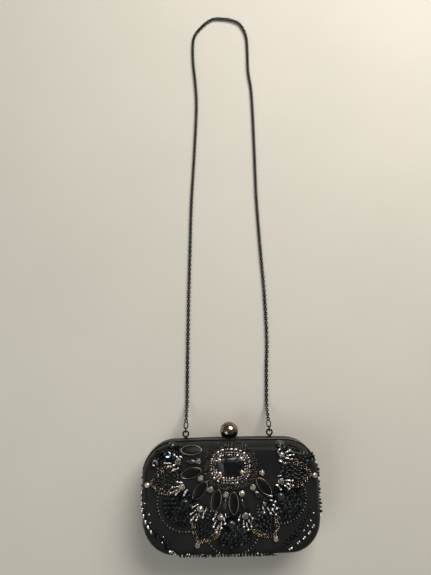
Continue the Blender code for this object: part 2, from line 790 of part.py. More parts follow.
def add_gem(bm, x, y, radius, height, sides, turn):
    """A faceted stone: a straight girdle under a sloping crown."""
    place = on_lid(x, y, turn)
    girdle = height * 0.4
    rings = []
    for level, scale in ((0.0, 0.92), (girdle, 1.0), (height, 0.55)):
        ring = [bm.verts.new(place @ Vector((px * scale, py * scale, level)))
                for px, py in ellipse(radius, radius, sides)]
        rings.append(ring)
    bridge(bm, rings[0], rings[1])
    bridge(bm, rings[1], rings[2])
    bm.faces.new(rings[0][::-1])
    bm.faces.new(rings[2])


def make_medallion():
    place = on_lid(0, MEDALLION_Y)
    bm = bmesh.new()
    rings = []
    for level, scale in STONE_LEVELS:
        half = (STONE_HALF[0] * scale, STONE_HALF[1] * scale)
        rings.append([bm.verts.new(place @ Vector((px, py, level))) for px, py in rounded(half)])
    bridge(bm, rings[0], rings[1])
    bridge(bm, rings[1], rings[2])
    bm.faces.new(rings[0][::-1])
    bm.faces.new(rings[2])
    add_object("medallion_stone", bm, black_stone())

    bands = (("medallion_bezel", BEZEL, gunmetal), ("medallion_seed_band", SEED_BAND, silver_bead),
             ("medallion_bugle_band", BUGLE_BAND, silver_bead))
    for name, (inner, outer, height), finish in bands:
        bm = bmesh.new()
        add_draped_band(bm, rounded(outer), rounded(inner), height)
        add_object(name, bm, finish())


def add_draped_band(bm, outer, inner, thickness):
    """A flat ring round the medallion that follows the lid down where the lid starts to curve."""
    rings = []
    for points, lift in ((outer, 0.0), (outer, thickness), (inner, thickness), (inner, 0.0)):
        ring = []
        for x, y in points:
            base = lid_height(x, MEDALLION_Y + y) + LIFT
            ring.append(bm.verts.new((x, MEDALLION_Y + y, base + lift)))
        rings.append(ring)
    for k in range(4):
        bridge(bm, rings[k], rings[(k + 1) % 4])


def make_navettes():
    """Pointed oval stones, each in its own narrow bezel."""
    half_x, half_y = NAVETTE_HALF
    stone_height, bezel_height = NAVETTE_HEIGHTS
    for number, (angle, radius, turn) in enumerate(NAVETTES, start=1):
        x, y = polar(angle, radius)
        place = on_lid(x, y, turn)
        stone = bmesh.new()
        add_prism(stone, ellipse(half_x - NAVETTE_STONE_INSET, half_y - NAVETTE_STONE_INSET, 14), place,
                  stone_height)
        add_object(f"navette_stone_{number}", stone, black_stone())
        bezel = bmesh.new()
        add_band(bezel, ellipse(half_x, half_y, 14), ellipse(half_x - NAVETTE_RIM, half_y - NAVETTE_RIM, 14),
                 place, bezel_height)
        add_object(f"navette_bezel_{number}", bezel, gunmetal())


def make_gems():
    """The stone at the tip of each petal and the domed stone in each flower."""
    for kind, places, (radius, height), finish in (("petal_stone", PETALS, PETAL_GEM, champagne_stone),
                                                   ("flower_stone", FLOWERS, FLOWER_GEM, black_stone)):
        for number, (angle, distance) in enumerate(places, start=1):
            x, y = polar(angle, distance)
            bm = bmesh.new()
            add_gem(bm, x, y, radius, height, sides=10, turn=angle)
            add_object(f"{kind}_{number}", bm, finish())


# ---------------------------------------------------------------- assembly

def build():
    clear_scene()
    layers = (
        ("satin", 0.0, SATIN, satin_black),
        ("shell", SATIN + GAP, SHELL, board_grey),
        ("lining", SATIN + SHELL + 2 * GAP, LINING, lining_black),
    )
    for half, lid in (("rear", False), ("front", True)):
        for layer, start, thickness, finish in layers:
            make_dish(half + "_" + layer, start, thickness, lid, finish())
        make_frame(half + "_frame", lid)
    boolean(bpy.data.objects["rear_frame"], rivet_holes())
    make_bracket()
    make_latch_pin()
    make_lever()
    make_latch_spring()
    make_keeper()
    make_ball()
    make_collar()
    for side, sign, eyelet_x in (("left", -1, EYELET_X[0]), ("right", 1, EYELET_X[1])):
        make_lid_knuckle(side, sign * HINGE_X)
        make_rear_knuckles(side, sign * HINGE_X)
        make_hinge_pin(side, sign * HINGE_X)
        make_rivet(side, sign * RIVET_X)
        make_eyelet(side + "_eyelet", eyelet_x)
        make_connector(side, eyelet_x)
    make_chain()
    make_medallion()
    make_navettes()
    make_gems()


build()
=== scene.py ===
import math

import bpy
import numpy as np
from mathutils import Matrix, Vector


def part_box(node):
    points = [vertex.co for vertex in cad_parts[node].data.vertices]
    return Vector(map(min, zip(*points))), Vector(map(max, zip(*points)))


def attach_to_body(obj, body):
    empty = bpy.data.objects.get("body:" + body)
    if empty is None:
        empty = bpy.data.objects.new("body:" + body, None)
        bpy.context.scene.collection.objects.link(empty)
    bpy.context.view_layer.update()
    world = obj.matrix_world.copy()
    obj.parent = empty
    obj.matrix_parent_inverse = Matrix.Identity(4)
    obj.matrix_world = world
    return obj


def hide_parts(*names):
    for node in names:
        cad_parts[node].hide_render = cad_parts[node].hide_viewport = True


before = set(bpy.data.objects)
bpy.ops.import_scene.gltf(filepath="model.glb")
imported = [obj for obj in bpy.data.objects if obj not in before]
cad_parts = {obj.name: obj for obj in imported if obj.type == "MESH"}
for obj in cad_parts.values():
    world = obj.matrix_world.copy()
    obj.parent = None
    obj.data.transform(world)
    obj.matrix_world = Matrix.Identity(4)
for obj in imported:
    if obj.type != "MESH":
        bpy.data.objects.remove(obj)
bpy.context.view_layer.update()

# Evening bag: the looks. Lengths are in millimetres in the frame's own axes; add_mesh turns them into metres.
MM = 0.001
rng = np.random.default_rng(31)


# --- Sizes of the case and the ball, from the frame where it gives them

def node_box(name):
    """A CAD node's lowest and highest corner."""
    low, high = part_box(name)
    return np.array(low) / MM, np.array(high) / MM


HALF_X, HALF_Y, KNEE = node_box("front_frame")[1]
DEPTH = node_box("front_satin")[1][2]
PARTING = DEPTH / 2
BOW_X = 1.2
BOW_Y = 1.8
CORNER_RADIUS = 31.0
EDGE_CURVE = 9.0
EDGE_POWER = 2.3
DISH_INSET = 1.6
STRAIGHT_X = HALF_X - BOW_X
STRAIGHT_Y = HALF_Y - BOW_Y
MEDALLION_Y = 31.4
HINGE_Y = -(HALF_Y - 1.2)
HINGE_X = 36.0
BALL_LOW, BALL_HIGH = node_box("ball_knob")
BALL_RADIUS = (BALL_HIGH[2] - BALL_LOW[2]) / 2
BALL_Z = (BALL_HIGH[2] + BALL_LOW[2]) / 2
BALL_Y = BALL_HIGH[1] - BALL_RADIUS


# --- Camera and light, in metres

CAMERA_PLACE = (-0.0109, 0.1391, 0.5057)
CAMERA_TILT = math.radians(8.5)
CAMERA_ROLL = math.radians(1.2)
CAMERA_LENS = 28.17
CAMERA_SENSOR = 36.0
CAMERA_NEAR = 0.01
# Each softbox: name, place, aim, size, power in watts and colour.
SOFTBOXES = (
    ("key_softbox", (0.45, 0.98, 0.86), (0.0, 0.15, 0.0), (0.9, 0.7), 18.8, (1.0, 0.963, 0.912)),
    ("fill_softbox", (-0.62, -0.3, 0.8), (-0.02, 0.0, 0.0), (0.6, 0.6), 3.0, (0.94, 0.96, 0.96)),
)
SKY = ((0.0, (0.62, 0.6, 0.56)), (1.0, (0.72, 0.72, 0.72)))
SKY_STRENGTH = 0.22


def add_object(name, data):
    obj = bpy.data.objects.new(name, data)
    bpy.context.scene.collection.objects.link(obj)
    return obj


def make_camera():
    """A camera that looks down at the bag, tilted towards its top and rolled a little."""
    data = bpy.data.cameras.new("camera")
    data.lens = CAMERA_LENS
    data.sensor_width = CAMERA_SENSOR
    data.clip_start = CAMERA_NEAR
    camera = add_object("camera", data)
    turn = Matrix.Rotation(CAMERA_TILT, 4, "X") @ Matrix.Rotation(-CAMERA_ROLL, 4, "Z")
    camera.matrix_world = Matrix.Translation(CAMERA_PLACE) @ turn
    bpy.context.scene.camera = camera


def make_light():
    for name, place, aim, size, power, colour in SOFTBOXES:
        data = bpy.data.lights.new(name, "AREA")
        data.shape = "RECTANGLE"
        data.size, data.size_y = size
        data.energy = power
        data.color = colour
        light = add_object(name, data)
        light.location = place
        light.rotation_euler = (Vector(aim) - Vector(place)).to_track_quat("-Z", "Y").to_euler()
    world = bpy.data.worlds.new("studio")
    bpy.context.scene.world = world
    world.use_nodes = True
    tree = world.node_tree
    split = add_node(tree, "SeparateXYZ", Vector=add_node(tree, "TexCoord").outputs["Generated"])
    sky = tint(tree, split.outputs["Z"], *SKY)
    fill_sockets(tree, tree.nodes["Background"], Color=sky, Strength=SKY_STRENGTH)
    bpy.context.scene.view_settings.view_transform = "Standard"


# --- Shader nodes

def fill_sockets(tree, node, **sockets):
    """Sets a node's inputs, given as values or as the outputs of other nodes to link."""
    for key, value in sockets.items():
        socket = node.inputs[key.replace("_", " ")]
        if isinstance(value, bpy.types.NodeSocket):
            tree.links.new(value, socket)
        else:
            socket.default_value = value


def add_node(tree, kind, **sockets):
    node = tree.nodes.new("ShaderNode" + kind)
    fill_sockets(tree, node, **sockets)
    return node


def feed(tree, **sockets):
    fill_sockets(tree, tree.nodes["Principled BSDF"], **sockets)


def principled(name, colour, roughness, metallic=0.0, **sockets):
    KIT[name] = bpy.data.materials.new(name)
    KIT[name].use_nodes = True
    tree = KIT[name].node_tree
    feed(tree, Base_Color=(*colour, 1.0), Roughness=roughness, Metallic=metallic, **sockets)
    return tree


def coordinates(tree, stretch=(1, 1, 1)):
    """Object coordinates in millimetres, scaled by stretch."""
    source = add_node(tree, "TexCoord").outputs["Object"]
    return add_node(tree, "Mapping", Vector=source, Scale=tuple(s / MM for s in stretch)).outputs["Vector"]


def noise(tree, place, scale, detail=3.0, roughness=0.5):
    node = add_node(tree, "TexNoise", Vector=place, Scale=scale, Detail=detail, Roughness=roughness)
    return node.outputs["Fac"]


def wave(tree, place, scale, direction, distortion):
    node = add_node(tree, "TexWave", Vector=place, Scale=scale, Distortion=distortion)
    node.bands_direction = direction
    return node.outputs["Fac"]


def spread(tree, source, low, high, start=0.3, end=0.7):
    """Maps a grey texture to a range of numbers."""
    node = add_node(tree, "MapRange", Value=source, From_Min=start, From_Max=end, To_Min=low, To_Max=high)
    return node.outputs["Result"]


def tint(tree, source, *stops):
    """Maps a grey texture to colours, given as (position, colour) stops."""
    ramp = add_node(tree, "ValToRGB", Fac=source)
    elements = ramp.color_ramp.elements
    while len(elements) < len(stops):
        elements.new(0.5)
    for element, (place, colour) in zip(elements, stops):
        element.position = place
        element.color = (*colour, 1.0)
    return ramp.outputs["Color"]


def bump(tree, height, strength, distance):
    """Adds a bump of some millimetres on top of what the shader already has."""
    node = add_node(tree, "Bump", Height=height, Strength=strength, Distance=distance * MM)
    normal = tree.nodes["Principled BSDF"].inputs["Normal"]
    if normal.is_linked:
        tree.links.new(normal.links[0].from_socket, node.inputs["Normal"])
    tree.links.new(node.outputs["Normal"], normal)


# --- Materials

KIT = {}


def satin_material(name, dark, light, roughness):
    """Warp-faced satin: fine threads, a slow drift of tone, and soft unevenness where it is glued down."""
    tree = principled(name, dark, roughness, Sheen_Weight=0.02, Sheen_Roughness=0.35,
                            Specular_IOR_Level=0.09, Anisotropic=0.3)
    place = coordinates(tree)
    feed(tree, Base_Color=tint(tree, noise(tree, place, 0.045, 4.0), (0.25, dark), (0.75, light)),
         Roughness=spread(tree, noise(tree, place, 0.6, 5.0), roughness - 0.06, roughness + 0.1))
    bump(tree, noise(tree, place, 0.1, 2.0), 0.25, 0.6)
    bump(tree, wave(tree, place, 0.55, "Y", 0.6), 0.22, 0.03)
    bump(tree, wave(tree, place, 1.1, "X", 0.3), 0.1, 0.02)


def polish(tree, place, low, high, scratches):
    """Uneven roughness between low and high, and long fine scratches."""
    feed(tree, Roughness=spread(tree, noise(tree, place, 1.3, 6.0, 0.65), low, high))
    bump(tree, noise(tree, coordinates(tree, (0.25, 2.2, 2.2)), 2.4, 4.0, 0.7), scratches, 0.04)


def metal_material(name, dark, light, roughness, patch=0.35):
    """Plated metal with a patchy tone."""
    tree = principled(name, dark, roughness, 1.0)
    place = coordinates(tree)
    feed(tree, Base_Color=tint(tree, noise(tree, place, patch, 5.0, 0.6), (0.3, dark), (0.72, light)))
    polish(tree, place, roughness * 0.7, roughness * 1.5, 0.12)


def ball_material():
    """Black nickel with a painted reflection: darker on its side towards the bag, bronze in soft patches away
    from it.
    """
    tree = principled("ball_metal", (0.2, 0.17, 0.14), 0.08, 1.0)
    place = coordinates(tree)
    split = add_node(tree, "SeparateXYZ", Vector=place)
    # Painted reflection: the colour runs darker where the ball would mirror the black bag, and bronze in soft
    # patches where it would mirror the room and lamps.
    height = spread(tree, split.outputs["Y"], 0.0, 0.62, BALL_Y - 6.0, BALL_Y + 2.0)
    reflection_patches = spread(tree, noise(tree, place, 0.17, 2.0), 0.0, 0.38)
    total = add_node(tree, "Math")
    tree.links.new(height, total.inputs[0])
    tree.links.new(reflection_patches, total.inputs[1])
    stops = ((0.0, (0.03, 0.03, 0.03)), (0.35, (0.06, 0.055, 0.05)), (0.72, (0.2, 0.165, 0.135)),
             (0.86, (0.44, 0.33, 0.235)), (1.0, (0.24, 0.21, 0.185)))
    feed(tree, Base_Color=tint(tree, total.outputs[0], *stops))
    polish(tree, place, 0.06, 0.12, 0.03)


def bead_material(name, dark, light, roughness, metallic, coat=0.0, shine=0.5):
    """Beads of one kind, each a little different: the attribute tone runs from 0 to 1."""
    tree = principled(name, dark, roughness, metallic, Coat_Weight=coat, Coat_Roughness=0.04,
                            Specular_IOR_Level=shine)
    tone = add_node(tree, "Attribute")
    tone.attribute_name = "tone"
    place = coordinates(tree)
    feed(tree, Base_Color=tint(tree, tone.outputs["Fac"], (0.0, dark), (1.0, light)),
         Roughness=spread(tree, noise(tree, place, 1.6, 3.0), roughness * 0.6, roughness * 1.5))
    bump(tree, noise(tree, place, 2.5, 2.0), 0.08, 0.05)


def board_material():
    """Moulded fibre board with a pressed grain."""
    tree = principled("case_board", (0.09, 0.085, 0.08), 0.75)
    fibres = noise(tree, coordinates(tree), 1.2, 6.0, 0.7)
    feed(tree, Base_Color=tint(tree, fibres, (0.3, (0.06, 0.056, 0.052)), (0.7, (0.15, 0.14, 0.13))))
    bump(tree, fibres, 0.4, 0.1)


def floor_material():
    """Pale painted table top, faintly mottled."""
    tree = principled("table_top", (0.58, 0.56, 0.51), 0.7, Specular_IOR_Level=0.2)
    place = coordinates(tree)
    mottle = noise(tree, place, 0.006, 5.0, 0.55)
    feed(tree, Base_Color=tint(tree, mottle, (0.2, (0.56, 0.54, 0.478)), (0.8, (0.61, 0.585, 0.522))))
    bump(tree, noise(tree, place, 0.5, 4.0), 0.05, 0.05)


# Bead finishes, under the CAD slot that they stand for: name, dark and light colour, roughness, metallic,
# and the coat and shine of those that aren't plain beads.
BEAD_FINISHES = {
    "silver_bead": (
        ("silver_bead", (0.5, 0.48, 0.47), (0.98, 0.97, 0.96), 0.22, 1.0),
        ("old_silver_bead", (0.1, 0.093, 0.088), (0.84, 0.82, 0.8), 0.22, 1.0),
        ("rose_grey_bead", (0.08, 0.06, 0.056), (0.43, 0.34, 0.32), 0.25, 0.8),
        ("hematite_bead", (0.004, 0.004, 0.004), (0.05, 0.045, 0.04), 0.24, 0.6, 0.2),
        ("brown_bead", (0.008, 0.0072, 0.0065), (0.31, 0.275, 0.245), 0.22, 0.85),
        ("bronze_bead", (0.045, 0.034, 0.023), (0.72, 0.56, 0.38), 0.2, 1.0),
        ("grey_green_bead", (0.045, 0.048, 0.042), (0.25, 0.25, 0.22), 0.22, 0.8),
        # A sequin finish coloured as a painted highlight: the blue-white glint of a sequin catching the
        # light.
        ("blue_glint_sequin", (0.16, 0.28, 0.6), (0.5, 0.68, 1.0), 0.14, 0.9, 0.4),
    ),
    "black_stone": (
        ("black_glass_bead", (0.0008, 0.001, 0.0014), (0.006, 0.007, 0.01), 0.18, 0.0, 0.1, 0.4),
        ("black_sequin", (0.0006, 0.001, 0.001), (0.018, 0.023, 0.022), 0.2, 0.7, 0.05, 0.35),
        ("black_stone", (0.0015, 0.0015, 0.002), (0.008, 0.012, 0.016), 0.24, 0.0, 0.0, 0.35),
        ("flat_black_stone", (0.0012, 0.001, 0.0008), (0.003, 0.0025, 0.002), 0.4, 0.0, 0.0, 0.2),
        ("smoke_stone", (0.006, 0.007, 0.008), (0.085, 0.09, 0.088), 0.1, 0.6, 0.5),
    ),
    "champagne_stone": (
        ("champagne_crystal", (0.11, 0.085, 0.052), (0.94, 0.84, 0.68), 0.06, 0.8, 0.8),
        ("gold_crystal", (0.3, 0.22, 0.12), (1.0, 0.85, 0.62), 0.06, 0.75, 1.0),
    ),
}
# Stones shaded flat with a tone of their own on every facet, from dark to light: painted reflections that
# stand in for the sparkle of facets catching the light.
FACETED = ("black_stone", "smoke_stone", "champagne_crystal", "gold_crystal")


def make_materials():
    satin_material("black_satin", (0.009, 0.0098, 0.01), (0.0172, 0.0174, 0.0168), 0.48)
    satin_material("lining_satin", (0.014, 0.014, 0.015), (0.028, 0.028, 0.03), 0.42)
    metal_material("gunmetal", (0.034, 0.035, 0.038), (0.09, 0.09, 0.094), 0.3)
    metal_material("chain_metal", (0.01, 0.01, 0.011), (0.034, 0.034, 0.035), 0.3)
    metal_material("bronze_bezel", (0.33, 0.22, 0.14), (0.36, 0.34, 0.32), 0.25, 0.05)
    ball_material()
    board_material()
    floor_material()
    for group in BEAD_FINISHES.values():
        for row in group:
            bead_material(*row)


# --- Mesh tools

def add_mesh(name, points, faces, finish, smooth=True, tones=None):
    """A mesh object from points in millimetres and faces as index rows of any length."""
    mesh = bpy.data.meshes.new(name)
    mesh.from_pydata((np.asarray(points) * MM).tolist(), [], [tuple(f) for f in faces])
    if smooth:
        mesh.shade_smooth()
    else:
        mesh.shade_flat()
    if tones is not None:
        layer = mesh.attributes.new("tone", "FLOAT", "FACE")
        layer.data.foreach_set("value", np.asarray(tones, dtype=np.float32))
    mesh.materials.append(KIT[finish])
    mesh.update()
    return add_object(name, mesh)


def attach(obj, body, node=None):
    """Puts a piece on its body and in the place of the CAD node that it stands for."""
    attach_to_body(obj, body)
    if node:
        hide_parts(node)


def sharpen(obj, degrees):
    obj.data.set_sharp_from_angle(angle=math.radians(degrees))


def volume(points, faces):
    """The volume inside closed faces, below zero where they face inwards."""
    return sum(np.dot(points[face[0]], np.cross(points[b], points[c]))
               for face in faces for b, c in zip(face[1:], face[2:])) / 6


def flipped(faces):
    return [tuple(reversed(face)) for face in faces]


def outward(points, faces):
    """The same closed shape with its faces turned outwards."""
    if volume(points, faces) < 0:
        faces = flipped(faces)
    return points, faces


def ring_faces(first, second, count):
    return [(first + i, first + (i + 1) % count, second + (i + 1) % count, second + i) for i in range(count)]


def skin(rings, closed, lid=None):
    """Faces over a stack of equal rings. One face, or the faces of lid, close each end of an open stack."""
    count = len(rings[0])
    last = (len(rings) - 1) * count
    faces = []
    for start in range(0, last, count):
        faces += ring_faces(start, start + count, count)
    if closed:
        faces += ring_faces(last, 0, count)
    else:
        lid = [tuple(range(count))] if lid is None else lid
        faces += flipped(lid)
        faces += [tuple(i + last for i in face) for face in lid]
    return outward(np.concatenate(rings), faces)


def rows(x, y, z):
    """Points as rows, from coordinates that are arrays or single numbers."""
    return np.column_stack(np.broadcast_arrays(x, y, z))


def full_turn(count, shift=0.0):
    """Evenly spaced angles round a full turn."""
    return 2 * math.pi * (np.arange(count) + shift) / count


def rounded(angles, power):
    """x and y of a unit superellipse: a circle at power 2, squarer above it and pointed below it."""
    return [np.sign(part) * np.abs(part) ** (2 / power) for part in (np.cos(angles), np.sin(angles))]


def lathe(profile, sides, closed=True):
    """A turned shape about local X, from (x, radius) pairs. A closed profile makes a ring or a tube."""
    turn = full_turn(sides)
    return skin([rows(x, radius * np.cos(turn), radius * np.sin(turn)) for x, radius in profile], closed)


def sphere(radius, sides, levels):
    angles = np.pi * (np.arange(levels) + 0.5) / levels
    return lathe([(-radius * math.cos(a), radius * math.sin(a)) for a in angles], sides, closed=False)


def seed_bead(radius, sides=10):
    """A short rounded tube with a thread hole along local X."""
    hole, half = 0.34 * radius, 0.62 * radius
    profile = ((-half, 0.55 * radius), (-0.75 * half, 0.86 * radius), (0.0, radius),
               (0.75 * half, 0.86 * radius), (half, 0.55 * radius), (0.6 * half, hole), (-0.6 * half, hole))
    return lathe(profile, sides)


def bugle_bead(length, radius, sides=10):
    """A cut glass tube along local X, with a thread hole."""
    half, hole = length / 2, 0.45 * radius
    edge = 0.18 * radius
    profile = ((-half, radius - edge), (-half + edge, radius), (half - edge, radius), (half, radius - edge),
               (half, hole), (-half, hole))
    return lathe(profile, sides)


def sequin(radius, cup, thickness=0.12, sides=14):
    """A cupped disc with a thread hole, facing local Z."""
    levels = ((0.16, 0.0), (0.55, 0.05), (0.8, 0.5), (1.0, 1.0))
    profile = [(cup * radius * lift, radius * part) for part, lift in levels]
    profile += [(x + thickness, r) for x, r in profile[::-1]]
    points, faces = lathe(profile, sides)
    return points[:, [1, 2, 0]], faces


def gem(radius, height, half_y=None, power=2.0, count=16, kite=0.05):
    """A faceted stone facing local Z: a girdle, a crown of kites and a flat table."""
    half_y = radius if half_y is None else half_y
    x, y = rounded(full_turn(count, 0.5), power)
    rings = []
    levels = ((0.8, 0.0, 0), (1.0, 0.38, 0), (1.0, 0.46, 0), (0.82, 0.78, kite), (0.56, 1.0, 0))
    for part, lift, wobble in levels:
        scale = part * (1 + wobble * (-1.0) ** np.arange(count))
        rings.append(rows(radius * x * scale, half_y * y * scale, height * lift))
    return skin(rings, closed=False)


def wire_ring(half_x, half_y, wire, count=40, sides=10, power=2.0):
    """A closed round wire in the local XY plane."""
    x, y = rounded(full_turn(count), power)
    line = rows(half_x * x, half_y * y, 0.0)
    along = np.roll(line, -1, axis=0) - np.roll(line, 1, axis=0)
    along /= np.linalg.norm(along, axis=1)[:, None]
    aside = np.cross(along, (0, 0, 1))
    aside /= np.linalg.norm(aside, axis=1)[:, None]
    above = np.cross(aside, along)
    turn = full_turn(sides)[:, None]
    rings = [p + wire * (np.cos(turn) * s + np.sin(turn) * a) for p, s, a in zip(line, aside, above)]
    return skin(rings, closed=True)


def add_stamped(name, parts, finish, body, node=None):
    """One object of many copies, from (shape, places) pairs. Each copy has its own tone; on faceted stones
    each facet has its own, a painted reflection.
    """
    faceted = finish in FACETED
    points, faces, tones = [], [], []
    start = 0
    for (shape_points, shape_faces), places in parts:
        for place in places:
            points.append(shape_points @ place[:3, :3].T + place[:3, 3])
            faces += [tuple(i + start for i in face) for face in shape_faces]
            start += len(shape_points)
        # On faceted stones every facet gets its own tone: painted reflections of light caught by the facets.
        if faceted:
            tones.append(rng.random(len(places) * len(shape_faces)))
        else:
            tones.append(np.repeat(rng.random(len(places)), len(shape_faces)))
    obj = add_mesh(name, np.concatenate(points), faces, finish, not faceted, np.concatenate(tones))
    attach(obj, body, node)
    return obj


def add_beads(name, finish, *parts, node=None):
    add_stamped(name, parts, finish, "lid", node)


def add_numbered(name, node, finish, shape, places):
    """Stones that each stand for one CAD node."""
    for number, place in enumerate(places, start=1):
        add_beads(f"{name}_{number}", finish, (shape, [place]), node=f"{node}_{number}")


# --- Case outline and lid surface

CORNER_STEPS = 18
LONG_STEPS = 26
SHORT_STEPS = 12
SLOPE_STEP = 0.4


def outline(inset):
    """The case outline moved in by inset, as (x, y) rows: four arcs and four bowed sides."""
    radius = max(CORNER_RADIUS - inset, 0.6)
    middle_x = STRAIGHT_X - inset - radius
    middle_y = STRAIGHT_Y - inset - radius
    arcs = []
    for k, (side_x, side_y) in enumerate(((1, 1), (-1, 1), (-1, -1), (1, -1))):
        angle = np.radians(90 * (k + np.arange(CORNER_STEPS + 1) / CORNER_STEPS))
        arcs.append(np.column_stack([side_x * middle_x + radius * np.cos(angle),
                                     side_y * middle_y + radius * np.sin(angle)]))
    stretches = []
    for k, arc in enumerate(arcs):
        steps = LONG_STEPS if k % 2 == 0 else SHORT_STEPS
        part = (np.arange(1, steps) / steps)[:, None]
        stretches += [arc, arc[-1] + (arcs[(k + 1) % 4][0] - arc[-1]) * part]
    x, y = np.concatenate(stretches).T
    return np.column_stack([x + BOW_X * (1 - (y / STRAIGHT_Y) ** 2) * x / STRAIGHT_X,
                            y + BOW_Y * (1 - (x / STRAIGHT_X) ** 2) * y / STRAIGHT_Y])


def outline_cap():
    """Faces that close an outline: strips from its upper side to its lower one, and a face at each end."""
    count = len(outline(0))
    first_end = 2 * CORNER_STEPS + LONG_STEPS
    lowest = first_end + SHORT_STEPS
    across = first_end + lowest
    strips = [(i, i + 1, (across - i - 1) % count, (across - i) % count) for i in range(first_end)]
    left = tuple(range(first_end, lowest + 1))
    right = tuple(range(across, count)) + (0,)
    return strips + [left, right]


def ring_at(inset, z):
    return rows(*outline(inset).T, z)


def past_corner(x, y):
    """How far a place lies outside the middles of the corner arcs, along x and along y."""
    return np.abs(x) - (STRAIGHT_X - CORNER_RADIUS), np.abs(y) - (STRAIGHT_Y - CORNER_RADIUS)


def inset_of(x, y):
    """How far inside the case outline a place is."""
    flat_x = x - BOW_X * (1 - np.minimum(1, (y / STRAIGHT_Y) ** 2)) * x / STRAIGHT_X
    flat_y = y - BOW_Y * (1 - np.minimum(1, (x / STRAIGHT_X) ** 2)) * y / STRAIGHT_Y
    out_x, out_y = past_corner(flat_x, flat_y)
    far = np.hypot(np.maximum(out_x, 0), np.maximum(out_y, 0))
    return CORNER_RADIUS - far - np.minimum(np.maximum(out_x, out_y), 0)


def lid_height(x, y):
    part = np.clip((inset_of(x, y) - DISH_INSET) / EDGE_CURVE, 0, 1)
    return KNEE + (DEPTH - KNEE) * (1 - (1 - part) ** EDGE_POWER) ** (1 / EDGE_POWER)


def on_lid(x, y, turn=0.0, lift=0.0, roll=0.0, pitch=0.0):
    """A 4x4 place on the lid: local X heads along turn (degrees) and local Z away from the satin."""
    slope_x = (lid_height(x + SLOPE_STEP, y) - lid_height(x - SLOPE_STEP, y)) / (2 * SLOPE_STEP)
    slope_y = (lid_height(x, y + SLOPE_STEP) - lid_height(x, y - SLOPE_STEP)) / (2 * SLOPE_STEP)
    away = np.array((-slope_x, -slope_y, 1.0))
    away /= np.linalg.norm(away)
    across = np.cross(away, (*unit(turn), 0.0))
    across /= np.linalg.norm(across)
    place = np.eye(4)
    place[:3, :3] = np.column_stack([np.cross(across, away), across, away])
    place[:3, 3] = np.array((x, y, lid_height(x, y))) + away * lift
    if roll or pitch:
        tilt = Matrix.Rotation(math.radians(roll), 4, "X") @ Matrix.Rotation(math.radians(pitch), 4, "Y")
        place = place @ np.array(tilt)
    return place


def raised(place, lift):
    """The same place, further from the satin."""
    copy = place.copy()
    copy[:3, 3] += place[:3, 2] * lift
    return copy


def unit(angle):
    return np.array((math.cos(math.radians(angle)), math.sin(math.radians(angle))))


def polar(angle, radius):
    """A place round the medallion's middle."""
    return unit(angle) * radius + (0.0, MEDALLION_Y)


def oval_place(angle, radius, stretch):
    """A place on an oval round the medallion that is wider than it is high."""
    return polar(angle, radius + stretch * math.cos(math.radians(angle)) ** 2)


def heading_of(x, y):
    return math.degrees(math.atan2(y, x))


def jitter(amount):
    return float(rng.uniform(-amount, amount))


# --- Case

LIP_END = 4.4
LIP_HEIGHT = 1.2
CURVE_STEPS = 16
FLAT_STEPS = 12
FLOOR_RIDGE = 3.5
RIM_ROUNDING = 0.5
CHANNEL_CORNERS = (10, 11)
RIVET_X = 5.4
PLEAT_CORNER = 9.0
PLEAT_HEIGHT = 14.0
PLEAT_REACH = 6.0
# The covers of each half: end of the node's name, inset, thickness, depth of the pleats, finish and slot.
COVERS = (
    ("_satin", 0.0, 0.5, 0.3, "black_satin", "satin"),
    ("_lining", 2.6, 0.6, 0.25, "lining_satin", "lining"),
)


def wall_stations(offset):
    """Insets and heights of one surface of the rear tray, from its lip to the middle of its floor."""
    lip = DISH_INSET + offset
    stations = [(lip, PARTING - LIP_END), (lip, PARTING - LIP_END - LIP_HEIGHT)]
    for step in range(CURVE_STEPS + 1):
        angle = math.pi / 2 * step / CURVE_STEPS
        across = max(math.cos(angle), 0.0) ** (2 / EDGE_POWER)
        down = math.sin(angle) ** (2 / EDGE_POWER)
        stations.append((lip + EDGE_CURVE * (1 - across), (DEPTH - KNEE) * (1 - down) + offset))
    start, floor = stations[-1]
    end = HALF_Y - FLOOR_RIDGE
    for step in range(1, FLAT_STEPS + 1):
        stations.append((start + (end - start) * step / FLAT_STEPS, floor))
    return stations


def gathers(points, amount):
    """Small pleats where the fabric is drawn round the corners, strongest near the frame."""
    x, y, z = points.T
    out_x, out_y = past_corner(x, y)
    corner = np.clip(np.minimum(out_x, out_y) / PLEAT_CORNER, 0, 1)
    out_x, out_y = np.maximum(out_x, 0.01), np.maximum(out_y, 0.01)
    angle = np.arctan2(out_y, out_x)
    near = np.exp(-((np.minimum(z, DEPTH - z) - PLEAT_HEIGHT) / PLEAT_REACH) ** 2)
    pleat = np.sin(angle * 34 + np.sin(angle * 11) * 1.5) * 0.6 + np.sin(angle * 61 + 1.0) * 0.4
    push = -amount * corner * near * (0.5 + 0.5 * pleat) / np.hypot(out_x, out_y)
    return rows(x + push * np.sign(x) * out_x, y + push * np.sign(y) * out_y, z)


def add_half(name, lid, points, faces, finish):
    """A piece of the rear half, or the same turned over for the front half."""
    if lid:
        points[:, 2] = DEPTH - points[:, 2]
        faces = flipped(faces)
    return add_mesh(name, points, faces, finish)


def make_cover(node, lid, start, thickness, pleats, finish, slot):
    """The satin over one half of the case, or its lining, as a closed thin shell."""
    stations = wall_stations(start)[::-1] + wall_stations(start + thickness)
    points, faces = skin([ring_at(*station) for station in stations], False, outline_cap())
    cover = add_half(node + "_cover", lid, gathers(points, pleats), faces, finish)
    attach(cover, "lid" if lid else "case", node)


